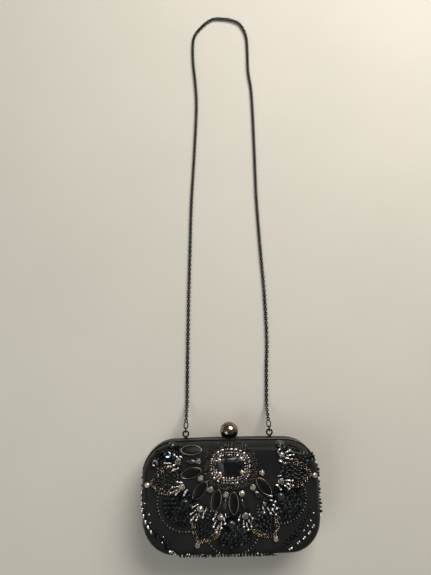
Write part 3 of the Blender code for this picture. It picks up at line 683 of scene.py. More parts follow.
def rounded_profile(corners, sharp, radius, steps=3):
    """A closed outline with a small arc at each corner but the sharp ones."""
    corners = np.array(corners)
    made = []
    for k, here in enumerate(corners):
        if k in sharp:
            made.append(here)
            continue
        before = corners[k - 1] - here
        after = corners[(k + 1) % len(corners)] - here
        reach = min(radius, 0.45 * np.linalg.norm(before), 0.45 * np.linalg.norm(after))
        start = here + before / np.linalg.norm(before) * reach
        end = here + after / np.linalg.norm(after) * reach
        for step in range(steps + 1):
            part = step / steps
            made.append((1 - part) ** 2 * start + 2 * part * (1 - part) * here + part ** 2 * end)
    return made


def carve(obj, boxes):
    """Cuts boxes, given by their lowest and highest corners, out of an object."""
    faces = ((0, 1, 3, 2), (4, 6, 7, 5), (0, 4, 5, 1), (2, 3, 7, 6), (0, 2, 6, 4), (1, 5, 7, 3))
    tools = []
    for box in boxes:
        corners = [(box[i][0], box[j][1], box[k][2]) for i in (0, 1) for j in (0, 1) for k in (0, 1)]
        tool = add_mesh("carve_tool", *outward(np.array(corners), faces), "gunmetal", smooth=False)
        step = obj.modifiers.new("carve", "BOOLEAN")
        step.solver = "EXACT"
        step.object = tool
        tools.append(tool)
    bpy.context.view_layer.update()
    evaluated = obj.evaluated_get(bpy.context.evaluated_depsgraph_get())
    carved = bpy.data.meshes.new_from_object(evaluated)
    obj.modifiers.clear()
    obj.data = carved
    for tool in tools:
        bpy.data.objects.remove(tool, do_unlink=True)


def make_frame(node, lid):
    """One half of the frame: a channel ring with a rounded outer rim and a bead line along it."""
    face = PARTING - 0.15
    knee = DEPTH - KNEE
    corners = (
        (0.35, knee), (0.0, knee + 1.2), (0.0, knee + 2.6), (0.45, knee + 3.1), (0.05, knee + 3.7),
        (0.05, face - 1.5), (1.5, face), (6.0, face), (6.0, PARTING - 5.5), (5.1, PARTING - 5.5),
        (5.1, face - 1.5), (1.3, face - 1.5), (1.3, knee),
    )
    profile = rounded_profile(corners, CHANNEL_CORNERS, RIM_ROUNDING)
    obj = add_half(node + "_rims", lid, *skin([ring_at(*row) for row in profile], closed=True), "gunmetal")
    # Room for the latch lever, for the hinge knuckles and, in the rear half, for the bracket's rivets.
    boxes = [((-2.7, 47.9, 18.8), (2.7, HALF_Y + 2, 28.8))]
    for x in (-HINGE_X, HINGE_X):
        boxes.append(((x - 9.3, HINGE_Y - 4, PARTING - 2.8), (x + 9.3, HINGE_Y + 2.2, PARTING + 2.8)))
    if not lid:
        for x in (-RIVET_X, RIVET_X):
            boxes.append(((x - 0.8, 48.0, 18.2), (x + 0.8, 49.6, 19.8)))
    carve(obj, boxes)
    sharpen(obj, 40)
    attach(obj, "lid" if lid else "case", node)


# --- Ball and collar

BALL_WALL = 0.8
BALL_SIDES = 72
BALL_LEVELS = 28
COLLAR_SIDES = 64
COLLAR_RADIUS = 5.25
COLLAR_FACE = (2.9, 4.9)
COLLAR_EDGE = 0.12
COLLAR_MILLING = 0.025


def ball_ring(y, radius, sides):
    """A ring about the ball's axis. The radius is a number or one number for each side."""
    turn = full_turn(sides)
    return rows(radius * np.cos(turn), y, BALL_Z + radius * np.sin(turn))


def make_ball():
    """The hollow ball, open at its collar."""
    rings = []
    for radius in (BALL_RADIUS - BALL_WALL, BALL_RADIUS):
        start = math.asin((BALL_LOW[1] - BALL_Y) / radius)
        arc = [ball_ring(BALL_Y + radius * math.sin(a), radius * math.cos(a), BALL_SIDES)
               for a in np.linspace(start, math.radians(89.0), BALL_LEVELS)]
        rings += arc if rings else arc[::-1]
    ball = add_mesh("latch_ball", *skin(rings, closed=False), "ball_metal")
    attach(ball, "latch", "ball_knob")


def make_collar():
    """The stepped collar with a milled edge."""
    low, high = (corner[1] for corner in node_box("ball_collar"))
    milled = COLLAR_RADIUS * (1 + COLLAR_MILLING * (-1.0) ** np.arange(COLLAR_SIDES))
    hole, face = COLLAR_FACE
    levels = ((low, hole), (low, face), (low + COLLAR_EDGE, milled), (high - COLLAR_EDGE, milled),
              (high, face), (high, hole))
    shape = skin([ball_ring(y, radius, COLLAR_SIDES) for y, radius in levels], closed=True)
    collar = add_mesh("milled_collar", *shape, "gunmetal")
    sharpen(collar, 30)
    attach(collar, "latch", "ball_collar")


# --- Strap

EYE_RADIUS = 2.9
EYE_WIRE = 0.6
EYE_RING_RADIUS = 2.8
EYE_RING_WIRE = 0.9
LINK_WIRE = 0.5
THICK_LINK_WIRE = 0.62
CLASP_HALF = (2.0, 4.0)
CONNECTOR_HALF = (1.8, 2.4)
CONNECTOR_REACH = 0.5
LINK_POWER = 2.4


def turned_place(origin, x_axis, y_axis):
    place = np.eye(4)
    place[:3, :3] = np.column_stack([x_axis, y_axis, np.cross(x_axis, y_axis)])
    place[:3, 3] = origin
    return place


def make_fittings(side):
    """An eyelet with a turned foot, the connector through it and the clasp link that holds the chain."""
    low, high = node_box(side + "_eyelet")
    x, _, z = (low + high) / 2
    start = low[1]
    eye_y = high[1] - EYE_RADIUS - EYE_WIRE
    end = eye_y - EYE_RADIUS
    ring = wire_ring(EYE_RING_RADIUS, EYE_RING_RADIUS, EYE_RING_WIRE, 40, 12)
    foot = lathe(((start, 0.01), (start, 1.9), (start + 0.25, 1.9), (start + 0.35, 1.5), (end - 0.1, 0.95),
                  (end + 0.35, 0.7), (end + 0.4, 0.01)), 24, closed=False)
    parts = ((ring, [turned_place((x, eye_y, z), (1, 0, 0), (0, 1, 0))]),
             (foot, [turned_place((x, 0, z), (0, 1, 0), (-1, 0, 0))]))
    eyelet = add_stamped(side + "_eye_ring", parts, "chain_metal", "case", side + "_eyelet")
    sharpen(eyelet, 40)

    made = []
    for kind, (half_x, half_y), extra in (("_connector_link", CONNECTOR_HALF, CONNECTOR_REACH),
                                          ("_clasp_link", CLASP_HALF, 0.0)):
        face_on = kind == "_clasp_link"
        low, high = node_box(side + kind)
        slope = slope_of(half_y, 0.0 if face_on else half_x, (high[1] - low[1]) / 2)
        along = np.array((0, math.cos(slope), -math.sin(slope)))
        side_axis = (1, 0, 0) if face_on else np.cross(along, (1, 0, 0))
        middle = (low + high) / 2 - along * extra / 2
        shape = wire_ring(half_x, half_y + extra / 2, THICK_LINK_WIRE, 40, 10, LINK_POWER)
        parts = ((shape, [turned_place(middle, side_axis, along)]),)
        made.append(add_stamped(side + kind + "_wire", parts, "chain_metal", "strap", node=side + kind))
    return made


def slope_of(half_long, half_wide, run):
    """The downward tilt of an oval link whose box is run long along Y, by bisection."""
    low, high = 0.0, math.pi / 3
    for _ in range(40):
        middle = (low + high) / 2
        reach = LINK_WIRE + math.hypot(half_long * math.cos(middle), half_wide * math.sin(middle))
        low, high = (middle, high) if reach > run else (low, middle)
    return low


# The chain's route from the left clasp link to the right one, in metres.
CHAIN_ROUTE = (
    (-0.045, 0.0701, 0.0134), (-0.0449, 0.075, 0.0092), (-0.0447, 0.0812, 0.0052), (-0.0444, 0.09, 0.0026),
    (-0.0438, 0.118, 0.0021), (-0.0428, 0.155, 0.0021), (-0.041, 0.21, 0.0021), (-0.039, 0.26, 0.0021),
    (-0.0367, 0.315, 0.0021), (-0.0322, 0.38, 0.0021), (-0.0292, 0.434, 0.0021), (-0.03, 0.464, 0.0021),
    (-0.0322, 0.49, 0.0021), (-0.0326, 0.513, 0.0021), (-0.0306, 0.528, 0.0021), (-0.024, 0.538, 0.0021),
    (-0.015, 0.547, 0.0021), (-0.006, 0.5518, 0.0021), (0.005, 0.5515, 0.0021), (0.015, 0.5497, 0.0021),
    (0.024, 0.5455, 0.0021), (0.03, 0.537, 0.0021), (0.0336, 0.524, 0.0021), (0.0342, 0.505, 0.0021),
    (0.0344, 0.48, 0.0021), (0.0372, 0.455, 0.0021), (0.0382, 0.42, 0.0021), (0.0386, 0.37, 0.0021),
    (0.0391, 0.315, 0.0021), (0.0415, 0.257, 0.0021), (0.0442, 0.205, 0.0021), (0.045, 0.155, 0.0021),
    (0.0434, 0.125, 0.0021), (0.0422, 0.09, 0.0026), (0.042, 0.0812, 0.0052), (0.042, 0.075, 0.0092),
    (0.042, 0.0701, 0.0134),
)
LINK_PITCH = 2.62
LINK_HALF = (1.9, 1.4)
CHAIN_WIRE = 0.58
LINK_ROLL = 13
HEADING_REACH = 1.0


def smooth_line(route, steps=14):
    """A Catmull-Rom curve through the route, as rows of points."""
    points = np.array(route)
    points = np.vstack([2 * points[0] - points[1], points, 2 * points[-1] - points[-2]])
    made = []
    for a, b, c, d in zip(points, points[1:], points[2:], points[3:]):
        for t in np.arange(steps) / steps:
            made.append(0.5 * (2 * b + (c - a) * t + (2 * a - 5 * b + 4 * c - d) * t * t
                               + (3 * b - a - 3 * c + d) * t ** 3))
    made.append(points[-2])
    return np.array(made)


def line_length(line):
    """The length travelled at each point of a line."""
    return np.concatenate([[0], np.cumsum(np.linalg.norm(np.diff(line, axis=0), axis=1))])


def along_line(line, distances):
    """Points and headings at the given distances along a line."""
    travelled = line_length(line)
    at, ahead, behind = (np.column_stack([np.interp(reach, travelled, line[:, k]) for k in range(3)])
                         for reach in (distances, np.minimum(distances + HEADING_REACH, travelled[-1]),
                                       np.maximum(distances - HEADING_REACH, 0)))
    heading = ahead - behind
    return at, heading / np.linalg.norm(heading, axis=1)[:, None]


def make_chain(fittings):
    """The cable chain: oval links, every other one turned on its edge."""
    line = smooth_line(CHAIN_ROUTE) / MM
    total = line_length(line)[-1]
    count = int(total // LINK_PITCH)
    places = []
    for k, (at, along) in enumerate(zip(*along_line(line, (np.arange(count) + 0.5) * total / count))):
        roll = math.radians(90 * (k % 2) + jitter(LINK_ROLL))
        aside = np.cross((0, 0, 1), along)
        aside /= np.linalg.norm(aside)
        across = aside * math.cos(roll) + np.cross(along, aside) * math.sin(roll)
        places.append(turned_place(at, along, across))
    link = wire_ring(*LINK_HALF, CHAIN_WIRE, 16, 7)
    chain = add_stamped("chain_links", ((link, places),), "chain_metal", "strap", node="chain")


# --- Beadwork

# Stones about the medallion. Angles are in degrees from the bag's right, anticlockwise.
# Navettes are (angle, radius, heading), petals (angle, radius of the tip, width), flowers (angle, radius,
# reach of the sequins, radius of the beaded outline or 0 for none).
NAVETTES = ((158, 41.0, 180), (188, 38.6, 195), (216, 36.9, 230), (245, 34.3, 255), (274, 33.9, 270),
            (329, 37.3, 310))
NAVETTE_HALF = (9.7, 4.2)
NAVETTE_POWER = 1.8
NAVETTE_STEPS = 56
BEZEL_HALF = (10.1, 4.65)
DROPS = (172, 260, 288, 315)
RHINESTONES = (170, 200, 227, 259, 293, 317, 348)
PETALS = ((191, 82.0, 1.0), (245, 78.0, 1.12), (302, 78.5, 1.12), (353, 81.5, 1.0))
FLOWERS = ((162, 60.0, 24.0, 0.0), (216, 55.5, 22.0, 26.2), (270, 53.0, 22.0, 27.6), (329, 56.0, 20.5, 24.0),
           (20, 52.5, 35.0, 0.0))
# Each fan: its angle, and the angle and reach of every silver ball from its stone.
FANS = (
    (174, ((-55, 7.3), (10, 13.0), (30, 10.5), (65, 9.0))),
    (201, ((-70, 6.8), (-22, 9.2), (4, 12.0), (27, 8.8), (84, 7.6))),
    (232, ((-67, 7.4), (-27, 10.0), (-4, 13.0), (16, 10.6), (56, 8.0))),
    (257, ((-64, 7.2), (-27, 10.8), (-5, 13.8), (16, 9.6), (50, 7.4))),
    (286, ((-80, 7.2), (-27, 9.6), (-5, 12.4), (15, 10.8), (58, 7.2))),
    (318, ((-78, 11.0), (-45, 10.4), (-22, 13.0), (0, 9.2), (42, 5.6))),
    (343, ((-78, 7.3), (-25, 10.0), (-2, 12.0), (20, 11.0))),
    (11, ((-80, 8.4), (-34, 10.4), (-12, 11.6), (14, 8.6), (82, 6.6))),
)
STONELESS_FAN = 318
FAN_BALL = 1.3
FAN_BUGLE = 0.7
FAN_LENGTHS = (5.2, 4.2, 3.2)
FAN_STONE = 2.65
WIDE_BALL = 40
BARE_BUGLES = (-116, 118)
PETAL_BASE = 53.0
PETAL_TIP_GAP = 2.2
PETAL_HALF = 13.2
PETAL_LANES = 4
PETAL_ROW = 6.1
LANE_PITCH = 1.6
SEED_PITCH = 2.0
SEED_STEP = 0.3
# Rows round the medallion: half width, half height, spacing and squareness.
INNER_ROW = (14.2, 10.8, 2.75, 3.1)
ROSE_ROW = (16.4, 13.0, 2.55, 2.8)
OUTER_ROW = (18.7, 15.4, 4.35, 2.6)
NET_GROWTH = (0.0, 1.3, 2.6, 3.9, 5.2)
STONE_POWER = 3.8
CORNER_STONES = ((-10.6, 6.0), (10.4, 7.2), (-10.3, -6.4), (10.9, -5.2))


def superellipse(half_x, half_y, spacing, power):
    """Evenly spaced points round a rounded rectangle about the medallion, with their headings."""
    x, y = rounded(np.linspace(0, 2 * math.pi, 721), power)
    x, y = half_x * x, half_y * y
    lengths = line_length(np.column_stack([x, y]))
    count = int(lengths[-1] // spacing)
    at = np.arange(count) * lengths[-1] / count
    px, py = np.interp(at, lengths, x), np.interp(at, lengths, y)
    qx, qy = np.interp(at + 0.2, lengths, x), np.interp(at + 0.2, lengths, y)
    return [(a, MEDALLION_Y + b, heading_of(c - a, d - b)) for a, b, c, d in zip(px, py, qx, qy)]


def make_medallion():
    """The cushion stone in its bezel, its corner stones, and the rows round it."""
    middle = on_lid(0, MEDALLION_Y, 0, 0.35)
    add_beads("cushion_stone", "black_stone", (gem(12.0, 3.6, 8.5, STONE_POWER, 24), [middle]),
              node="medallion_stone")
    rim = wire_ring(12.5, 9.0, 0.4, 80, 10, STONE_POWER)
    cup = wire_ring(12.4, 8.9, 0.4, 80, 8, STONE_POWER)
    add_beads("stone_bezel", "gunmetal", (rim, [raised(middle, 0.85)]), (cup, [raised(middle, 0.15)]),
              node="medallion_bezel")
    corners = [on_lid(x, MEDALLION_Y + y, 30, 2.0) for x, y in CORNER_STONES]
    add_beads("corner_stones", "gold_crystal", (gem(2.1, 2.0, count=12), corners))

    seeds, bugles = [], []
    for k, (x, y, turn) in enumerate(superellipse(*INNER_ROW)):
        (bugles if k % 3 == 2 else seeds).append(on_lid(x, y, turn + jitter(8), 1.3))
    add_beads("inner_silver_row", "old_silver_bead", (seed_bead(1.15), seeds),
              (bugle_bead(2.3, 0.95), bugles), node="medallion_seed_band")

    rose = [on_lid(x, y, turn + jitter(15), 1.15) for x, y, turn in superellipse(*ROSE_ROW)]
    add_beads("rose_grey_row", "rose_grey_bead", (bugle_bead(1.9, 0.92), rose))

    bugles, dots = [], []
    for k, (x, y, turn) in enumerate(superellipse(*OUTER_ROW)):
        if k % 5 == 2:
            dots += [on_lid(*((x, y) + unit(turn) * shift), turn, 1.25) for shift in (-1.1, 1.1)]
        else:
            bugles.append(on_lid(x, y, turn + jitter(7), 1.25 + jitter(0.1)))
    add_beads("outer_bugle_row", "old_silver_bead", (bugle_bead(3.1, 0.95), bugles), (seed_bead(1.05), dots),
              node="medallion_bugle_band")

    pale, dark = [], []
    for row, grow in enumerate(NET_GROWTH):
        for k, (x, y, turn) in enumerate(superellipse(20.5 + grow, 17.1 + 0.78 * grow, 1.7, 2.5)):
            if inset_of(x, y) > 2.4:
                place = on_lid(x + jitter(0.15), y + jitter(0.15), turn + 45, 0.85 - 0.04 * row)
                (pale if (k + row) % 2 else dark).append(place)
    add_beads("bead_net", "brown_bead", (seed_bead(0.68, 8), pale))
    add_beads("bead_net_knots", "hematite_bead", (seed_bead(0.78, 8), dark))


def make_navettes():
    """Pointed oval stones with a low dome, each in a wire bezel over a thin cup."""
    x, y = rounded(full_turn(NAVETTE_STEPS), NAVETTE_POWER)
    levels = ((0.9, 0.0), (0.99, 0.35), (1.0, 0.75), (0.94, 1.05), (0.8, 1.28), (0.6, 1.42), (0.35, 1.5),
              (0.1, 1.53))
    rings = [rows(NAVETTE_HALF[0] * part * x, NAVETTE_HALF[1] * part * y, lift) for part, lift in levels]
    stone = skin(rings, closed=False)
    bezel, cup = (wire_ring(*BEZEL_HALF, wire, 72, 8, NAVETTE_POWER) for wire in (0.32, 0.3))
    for number, (angle, radius, turn) in enumerate(NAVETTES, start=1):
        place = on_lid(*polar(angle, radius), turn, 0.35)
        add_beads(f"navette_{number}", "flat_black_stone", (stone, [place]), node=f"navette_stone_{number}")
        add_beads(f"navette_setting_{number}", "bronze_bezel", (bezel, [raised(place, 0.95)]),
                  (cup, [raised(place, 0.3)]), node=f"navette_bezel_{number}")


def add_set_stones(name, places, radius, height):
    """Faceted champagne stones, each in a thin cup with four claws."""
    add_beads(name, "champagne_crystal", (gem(radius, height), places))
    claws = []
    for place in places:
        for k in range(4):
            foot = unit(90 * k + math.degrees(0.6)) * radius
            claw = place.copy()
            claw[:3, 3] += place[:3, :3] @ (*foot, height * 0.5)
            claws.append(claw)
    cups = [raised(place, height * 0.3) for place in places]
    add_beads(name + "_cups", "old_silver_bead", (wire_ring(radius + 0.12, radius + 0.12, 0.26, 28, 6), cups),
              (sphere(0.36, 8, 6), claws))


def fan_centre(angle):
    return oval_place(angle, 47.3, 4.0)


def make_stones():
    """Rhinestones round the medallion and in the fans, petal tips, drops, and the flowers' domed stones."""
    ring = [on_lid(*oval_place(angle, 26.6, 5.0), angle + jitter(20), 0.4, jitter(5), jitter(5))
            for angle in RHINESTONES]
    add_set_stones("ring_rhinestones", ring, 2.5, 2.5)
    fans = [on_lid(*fan_centre(angle), angle + jitter(20), 0.4, jitter(6), jitter(6))
            for angle, _ in FANS if angle != STONELESS_FAN]
    add_set_stones("fan_rhinestones", fans, FAN_STONE, 2.7)
    tips = [on_lid(*polar(angle, radius), angle, 0.4) for angle, radius, _ in PETALS]
    add_numbered("petal_tip", "petal_stone", "champagne_crystal", gem(2.7, 2.7), tips)
    drops = [on_lid(*oval_place(angle, 36.0, 2.5), angle, 0.35) for angle in DROPS]
    add_beads("drop_stones", "smoke_stone", (gem(5.6, 2.4, 2.4, 1.7, 16, 0.0), drops))
    domes = [on_lid(*polar(angle, radius), angle, 0.35) for angle, radius, _, _ in FLOWERS]
    add_numbered("flower_bead", "flower_stone", "smoke_stone", gem(4.2, 4.0, count=12), domes)


def make_fans():
    """Bugles that spray out past each stone, every one ending in a silver ball."""
    balls = []
    bugles = {length: [] for length in FAN_LENGTHS}
    for angle, fan in FANS:
        centre = fan_centre(angle)
        for offset, reach in fan:
            ball = centre + unit(angle + offset) * reach
            balls.append(on_lid(*ball, jitter(90), FAN_BALL + 0.1 + jitter(0.15)))
            if abs(offset) > WIDE_BALL:
                heading = angle + 0.45 * offset + jitter(5)
                length = FAN_LENGTHS[1]
            else:
                source = centre - unit(angle) * 6.0
                heading = heading_of(*(ball - source)) + jitter(4)
                room = reach - FAN_BALL - FAN_STONE - 0.9
                length = next((item for item in FAN_LENGTHS if item <= room), FAN_LENGTHS[-1])
            middle = ball - unit(heading) * (FAN_BALL + 0.2 + length / 2)
            bugles[length].append(on_lid(*middle, heading, 1.15 + jitter(0.1), 0.0, jitter(3)))
    # Two bare bugles lie across the inner side of most fans.
    for angle, _ in FANS:
        for offset in BARE_BUGLES:
            if rng.random() < 0.75:
                middle = fan_centre(angle) + unit(angle + offset) * 5.4
                bugles[FAN_LENGTHS[1]].append(on_lid(*middle, angle + 0.2 * offset + jitter(10), 1.05))
    add_beads("fan_balls", "silver_bead", (sphere(FAN_BALL, 16, 12), balls))
    parts = [(bugle_bead(length, FAN_BUGLE), places) for length, places in bugles.items()]
    add_beads("fan_bugles", "silver_bead", *parts)


def near_fan(x, y, gap):
    """Whether a place is under a fan's stone or a ball."""
    for angle, fan in FANS:
        centre = fan_centre(angle)
        if angle != STONELESS_FAN and math.dist((x, y), centre) < FAN_STONE + gap:
            return True
        for offset, reach in fan:
            if math.dist((x, y), centre + unit(angle + offset) * reach) < FAN_BALL * 0.6 + gap * 0.5:
                return True
    return False


def petal_half_width(part, scale):
    """Half the width of a petal, from its base at part 0 to its tip at 1."""
    return scale * PETAL_HALF * math.sin(math.pi * min(1.0, 0.28 + 0.72 * part)) ** 0.75


def in_petal(x, y, gap):
    for angle, tip, scale in PETALS:
        along, across = np.array((x, y - MEDALLION_Y)) @ np.column_stack([unit(angle), unit(angle + 90)])
        part = (along - PETAL_BASE) / (tip - PETAL_TIP_GAP - PETAL_BASE)
        if 0 <= part <= 1.05 and abs(across) < petal_half_width(min(part, 1.0), scale) + gap:
            return True
    return False


def make_petals():
    """Each petal: black bugles in rows along it, and rows of small bronze and dark seeds down both edges."""
    fill, bronze, dark = [], [], []
    for angle, tip, scale in PETALS:
        length = tip - PETAL_TIP_GAP - PETAL_BASE
        axis = unit(angle)
        side = np.array((-axis[1], axis[0]))
        start = polar(angle, PETAL_BASE)

        def edge_point(travelled, flank, lane):
            width = petal_half_width(min(travelled / length, 1.0), scale) - LANE_PITCH * lane
            return start + axis * travelled + side * flank * max(width, 0.5)

        row = 1.5
        while row < length - 2.5:
            width = max(petal_half_width(row / length, scale) - PETAL_LANES * LANE_PITCH - 0.9, 0.9)
            columns = max(1, int(2 * width / 1.85))
            for column in range(columns + 1):
                across = -width + 2 * width * column / columns
                x, y = start + axis * (row + 2.6 * (column % 2) + jitter(0.4)) + side * across
                if inset_of(x, y) > 2.5 and not near_fan(x, y, 1.0):
                    turn = angle - across * 2.0 + jitter(3)
                    fill.append(on_lid(x, y, turn, 0.85 + jitter(0.12), 0, jitter(3)))
            row += PETAL_ROW
        for flank in (-1, 1):
            for lane in range(PETAL_LANES):
                travelled = 0.4
                while travelled < length + 1.0:
                    here = edge_point(travelled, flank, lane)
                    ahead = edge_point(travelled + SEED_STEP, flank, lane)
                    if inset_of(*here) > 2.3 and not near_fan(*here, 0.8):
                        turn = heading_of(*(ahead - here)) + 90 + jitter(12)
                        place = on_lid(*here, turn, 0.95 + jitter(0.1))
                        (bronze if rng.random() < 0.8 - 0.1 * lane else dark).append(place)
                    travelled += SEED_PITCH / max(math.dist(here, ahead) / SEED_STEP, 1.0)
    add_beads("petal_bugles", "black_glass_bead", (bugle_bead(5.7, 0.82), fill))
    add_beads("petal_bronze_seeds", "bronze_bead", (seed_bead(0.78, 9), bronze))
    add_beads("petal_dark_seeds", "hematite_bead", (seed_bead(0.7, 9), dark))


FLOWER_START = 5.6
FLOWER_ROW = 3.3
SEQUIN_PITCH = 4.1
OUTLINE_PITCH = 3.2
OUTLINE_COUNT = 23
# Two sequins coloured as painted highlights, a blue-white and a grey glint of sequins catching the light. The
# black sequins of UPPER_SEQUINS lie over them so that only a crescent of each glint shows.
BLUE_GLINT_SEQUIN = (-60.6, 43.4, 200, 2.0, 8, -14)
GREY_GLINT_SEQUIN = (-73.2, 35.8, 20, 1.9, -10, 16)
UPPER_SEQUINS = ((-62.1, 44.3, 200, 2.8, 10, -10), (-74.2, 34.4, 20, 2.8, -8, 10))


def free_of_stones(x, y):
    """Whether a place is outside the ring of navettes and stones round the medallion."""
    return math.hypot(x / 1.12, y - MEDALLION_Y) > 43.0 and not near_fan(x, y, 1.8)


def make_flowers():
    """Black sequins laid like roof tiles round each dark stone, then a line of grey-green beads."""
    discs, small, seeds = [], [], []
    for angle, radius, reach, outline_radius in FLOWERS:
        centre = polar(angle, radius)
        distance, row = FLOWER_START, 0
        while distance < reach:
            count = int(2 * math.pi * distance / SEQUIN_PITCH)
            for k in range(count):
                turn = angle + 360 * (k + 0.5 * (row % 2)) / count
                x, y = centre + unit(turn) * (distance + jitter(0.25))
                if inset_of(x, y) < 3.6 or in_petal(x, y, 1.0) or not free_of_stones(x, y):
                    continue
                place = on_lid(x, y, turn + jitter(9), 0.9 + jitter(0.1), 6 + jitter(11), -12 + jitter(9))
                discs.append(place)
                if rng.random() < 0.16:
                    small.append(raised(place, 0.55))
            distance += FLOWER_ROW
            row += 1
        if outline_radius:
            for k in range(-OUTLINE_COUNT, OUTLINE_COUNT + 1):
                turn = angle + math.degrees(OUTLINE_PITCH * k / outline_radius)
                x, y = centre + unit(turn) * outline_radius
                if inset_of(x, y) > 2.6 and not in_petal(x, y, 0.6) and free_of_stones(x, y):
                    seeds.append(on_lid(x, y, turn + 90, 1.05))
    add_beads("flower_sequins", "black_sequin", (sequin(2.6, 0.1), discs))
    add_beads("sequin_beads", "black_glass_bead", (seed_bead(0.62, 8), small))
    add_beads("flower_edge_beads", "grey_green_bead", (seed_bead(1.05), seeds))
    # Painted highlights: two sequins coloured as glints, half covered by black sequins so that a crescent of
    # each shows.
    add_beads("blue_glint_sequin", "blue_glint_sequin", (sequin(2.9, 0.18), [on_lid(*BLUE_GLINT_SEQUIN)]))
    add_beads("grey_glint_sequin", "grey_green_bead", (sequin(2.9, 0.18), [on_lid(*GREY_GLINT_SEQUIN)]))
    cover = [on_lid(*place) for place in UPPER_SEQUINS]
    add_beads("upper_sequins", "black_sequin", (sequin(2.6, 0.1), cover))


# Lines of beads and single beads along the borders, as (x, y), and bugles as (x, y, heading).
LEFT_EDGE = ((-86.6, 27), (-87.2, 18), (-87.2, 9))
LEFT_CORNER = ((-87.1, 6), (-86.8, -2), (-85.6, -9), (-83.6, -15), (-80.6, -21), (-77, -27))
LEFT_DARK = ((-74, -24), (-68.5, -28.5), (-63, -33.5), (-60.5, -39), (-57.5, -44.5), (-52.5, -46.8))
RIGHT_EDGE = ((83.6, 39), (86.4, 29), (87.3, 16), (87.3, 2), (87, -10), (85.6, -17))
RIGHT_CORNER = ((77.6, -24.6), (74.6, -29), (71, -32.6), (67.2, -35.6), (62.8, -38.6))
RIGHT_DARK = ((76.5, -8), (73, -15), (67, -21), (62, -28), (55, -34), (48.5, -41))
SINGLE_DOTS = ((-83, -1.5), (-79, -11), (-78, -18.5), (78.4, -12.6), (75.6, -19.5), (72.4, -24),
               (68.4, -28.4), (42, -49), (-48, -48.5), (-66.5, -36.5))
SINGLE_BUGLES = ((-58.6, -44.6, -35), (-54.6, -46.8, -25), (55.2, -43.8, 25))
LOOSE_SEQUINS = ((53.4, -38.2), (61.6, -31.8), (57, -34), (66.5, -24.5), (-72, -30.5), (-66, -35),
                 (-62.5, -40.5))
FRINGE_START = -50.0
FRINGE_LENGTH = 92.0
FRINGE_COUNT = 31


def smooth_path(points, spacing):
    """Evenly spaced points and headings along a smooth flat curve."""
    line = smooth_line([(x, y, 0.0) for x, y in points], 10)
    total = line_length(line)[-1]
    count = max(2, int(total // spacing) + 1)
    return [(x, y, heading_of(*heading[:2]))
            for (x, y, _), heading in zip(*along_line(line, np.linspace(0, total, count)))]


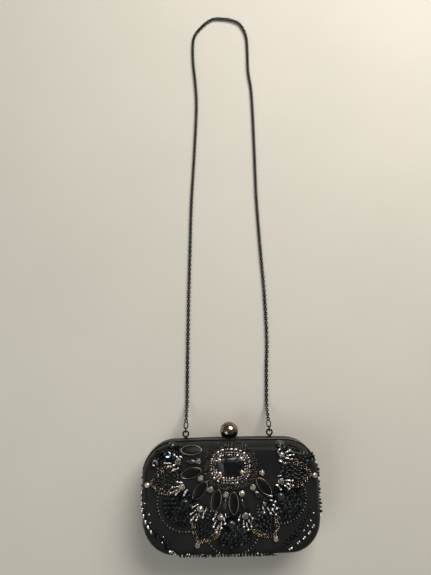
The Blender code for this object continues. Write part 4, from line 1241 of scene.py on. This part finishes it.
def make_borders():
    """Bugles and beads down both ends, round the lower corners, and along the lower edge."""
    bugles, dots, black, big = [], [], [], []
    for k, (x, y, turn) in enumerate(smooth_path(LEFT_EDGE, 2.5)):
        (dots if k % 3 else black).append(on_lid(x, y, turn, 1.0))
    for x, y, turn in smooth_path(LEFT_CORNER, 5.0):
        bugles.append(on_lid(x, y, turn + jitter(6), 1.15))
        black.append(on_lid(*((x, y) + unit(turn) * 2.5), turn, 1.0))
    for x, y, turn in smooth_path(RIGHT_CORNER, 5.2):
        bugles.append(on_lid(x, y, turn + jitter(9), 1.15))
    for k, (x, y, turn) in enumerate(smooth_path(RIGHT_EDGE, 3.1)):
        if k % 5 == 3 or k > 17:
            dots.append(on_lid(x, y, turn, 1.2))
        else:
            (big if k % 2 else black).append(on_lid(x, y, turn + 60, 1.3))
    for path, spacing in ((LEFT_DARK, 2.7), (RIGHT_DARK, 3.4)):
        for k, (x, y, turn) in enumerate(smooth_path(path, spacing)):
            place = on_lid(x + jitter(0.6), y + jitter(0.6), turn, 1.0)
            (dots if k % 6 == 4 and x < 0 else black).append(place)
    dots += [on_lid(x, y, jitter(90), 1.0) for x, y in SINGLE_DOTS]
    bugles += [on_lid(x, y, turn, 1.15) for x, y, turn in SINGLE_BUGLES]
    loose = [on_lid(x, y, jitter(90), 0.5, jitter(5), jitter(5)) for x, y in LOOSE_SEQUINS]
    add_beads("loose_sequins", "black_sequin", (sequin(2.5, 0.08), loose))
    add_beads("border_bugles", "silver_bead", (bugle_bead(3.5, 0.98), bugles))

    for k in range(FRINGE_COUNT):
        x = FRINGE_START + FRINGE_LENGTH * k / (FRINGE_COUNT - 1)
        edge = STRAIGHT_Y + BOW_Y * (1 - (x / STRAIGHT_X) ** 2)
        black.append(on_lid(x + jitter(0.8), -(edge - 5.2 + jitter(0.8)), jitter(40), 1.0))
        black.append(on_lid(x + jitter(0.6), -(edge - 3.4), jitter(40), 1.0))
        if rng.random() < 0.6:
            big.append(on_lid(x + jitter(0.7), -(edge - 2.2 + jitter(0.3)), 0, 1.1 + jitter(0.35)))
        if rng.random() < 0.22:
            dots.append(on_lid(x + jitter(0.9), -(edge - 6.6), jitter(60), 1.0))
    add_beads("border_seeds", "silver_bead", (seed_bead(1.0), dots))
    add_beads("border_black_beads", "black_glass_bead", (seed_bead(1.1), black))
    add_beads("border_large_beads", "black_glass_bead", (sphere(1.45, 12, 8), big))


# --- CAD nodes that stay, and the floor

EDGE_WIDTH = 0.12
FLOOR_HALF = 3000.0
FLOOR_SHIFT = 200.0


def dress_cad_nodes():
    """The pieces whose CAD shape is right get their finish and a small rounding of their edges."""
    plain = ["latch_bracket", "latch_pin", "latch_spring", "latch_lever", "latch_keeper"]
    for side in ("left", "right"):
        plain += [side + part for part in ("_rear_knuckles", "_lid_knuckle", "_hinge_pin", "_bracket_rivet")]
    for name in plain:
        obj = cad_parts[name]
        obj.material_slots[0].material = KIT["gunmetal"]
        step = obj.modifiers.new("edge", "BEVEL")
        step.width = EDGE_WIDTH * MM
        step.segments = 2
        step.limit_method = "ANGLE"
    for name in ("rear_shell", "front_shell"):
        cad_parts[name].material_slots[0].material = KIT["case_board"]


def make_floor():
    corners = np.array(((-1, -1, 0), (1, -1, 0), (1, 1, 0), (-1, 1, 0))) * FLOOR_HALF
    floor = add_mesh("table_top", corners + (0, FLOOR_SHIFT, 0), [(0, 1, 2, 3)], "table_top")


def build():
    make_camera()
    make_light()
    make_materials()
    make_floor()
    make_chain(make_fittings("left") + make_fittings("right"))
    for half, lid in (("rear", False), ("front", True)):
        for node, *cover in COVERS:
            make_cover(half + node, lid, *cover)
        make_frame(half + "_frame", lid)
    make_ball()
    make_collar()
    make_medallion()
    make_navettes()
    make_stones()
    make_fans()
    make_petals()
    make_flowers()
    make_borders()
    dress_cad_nodes()


build()
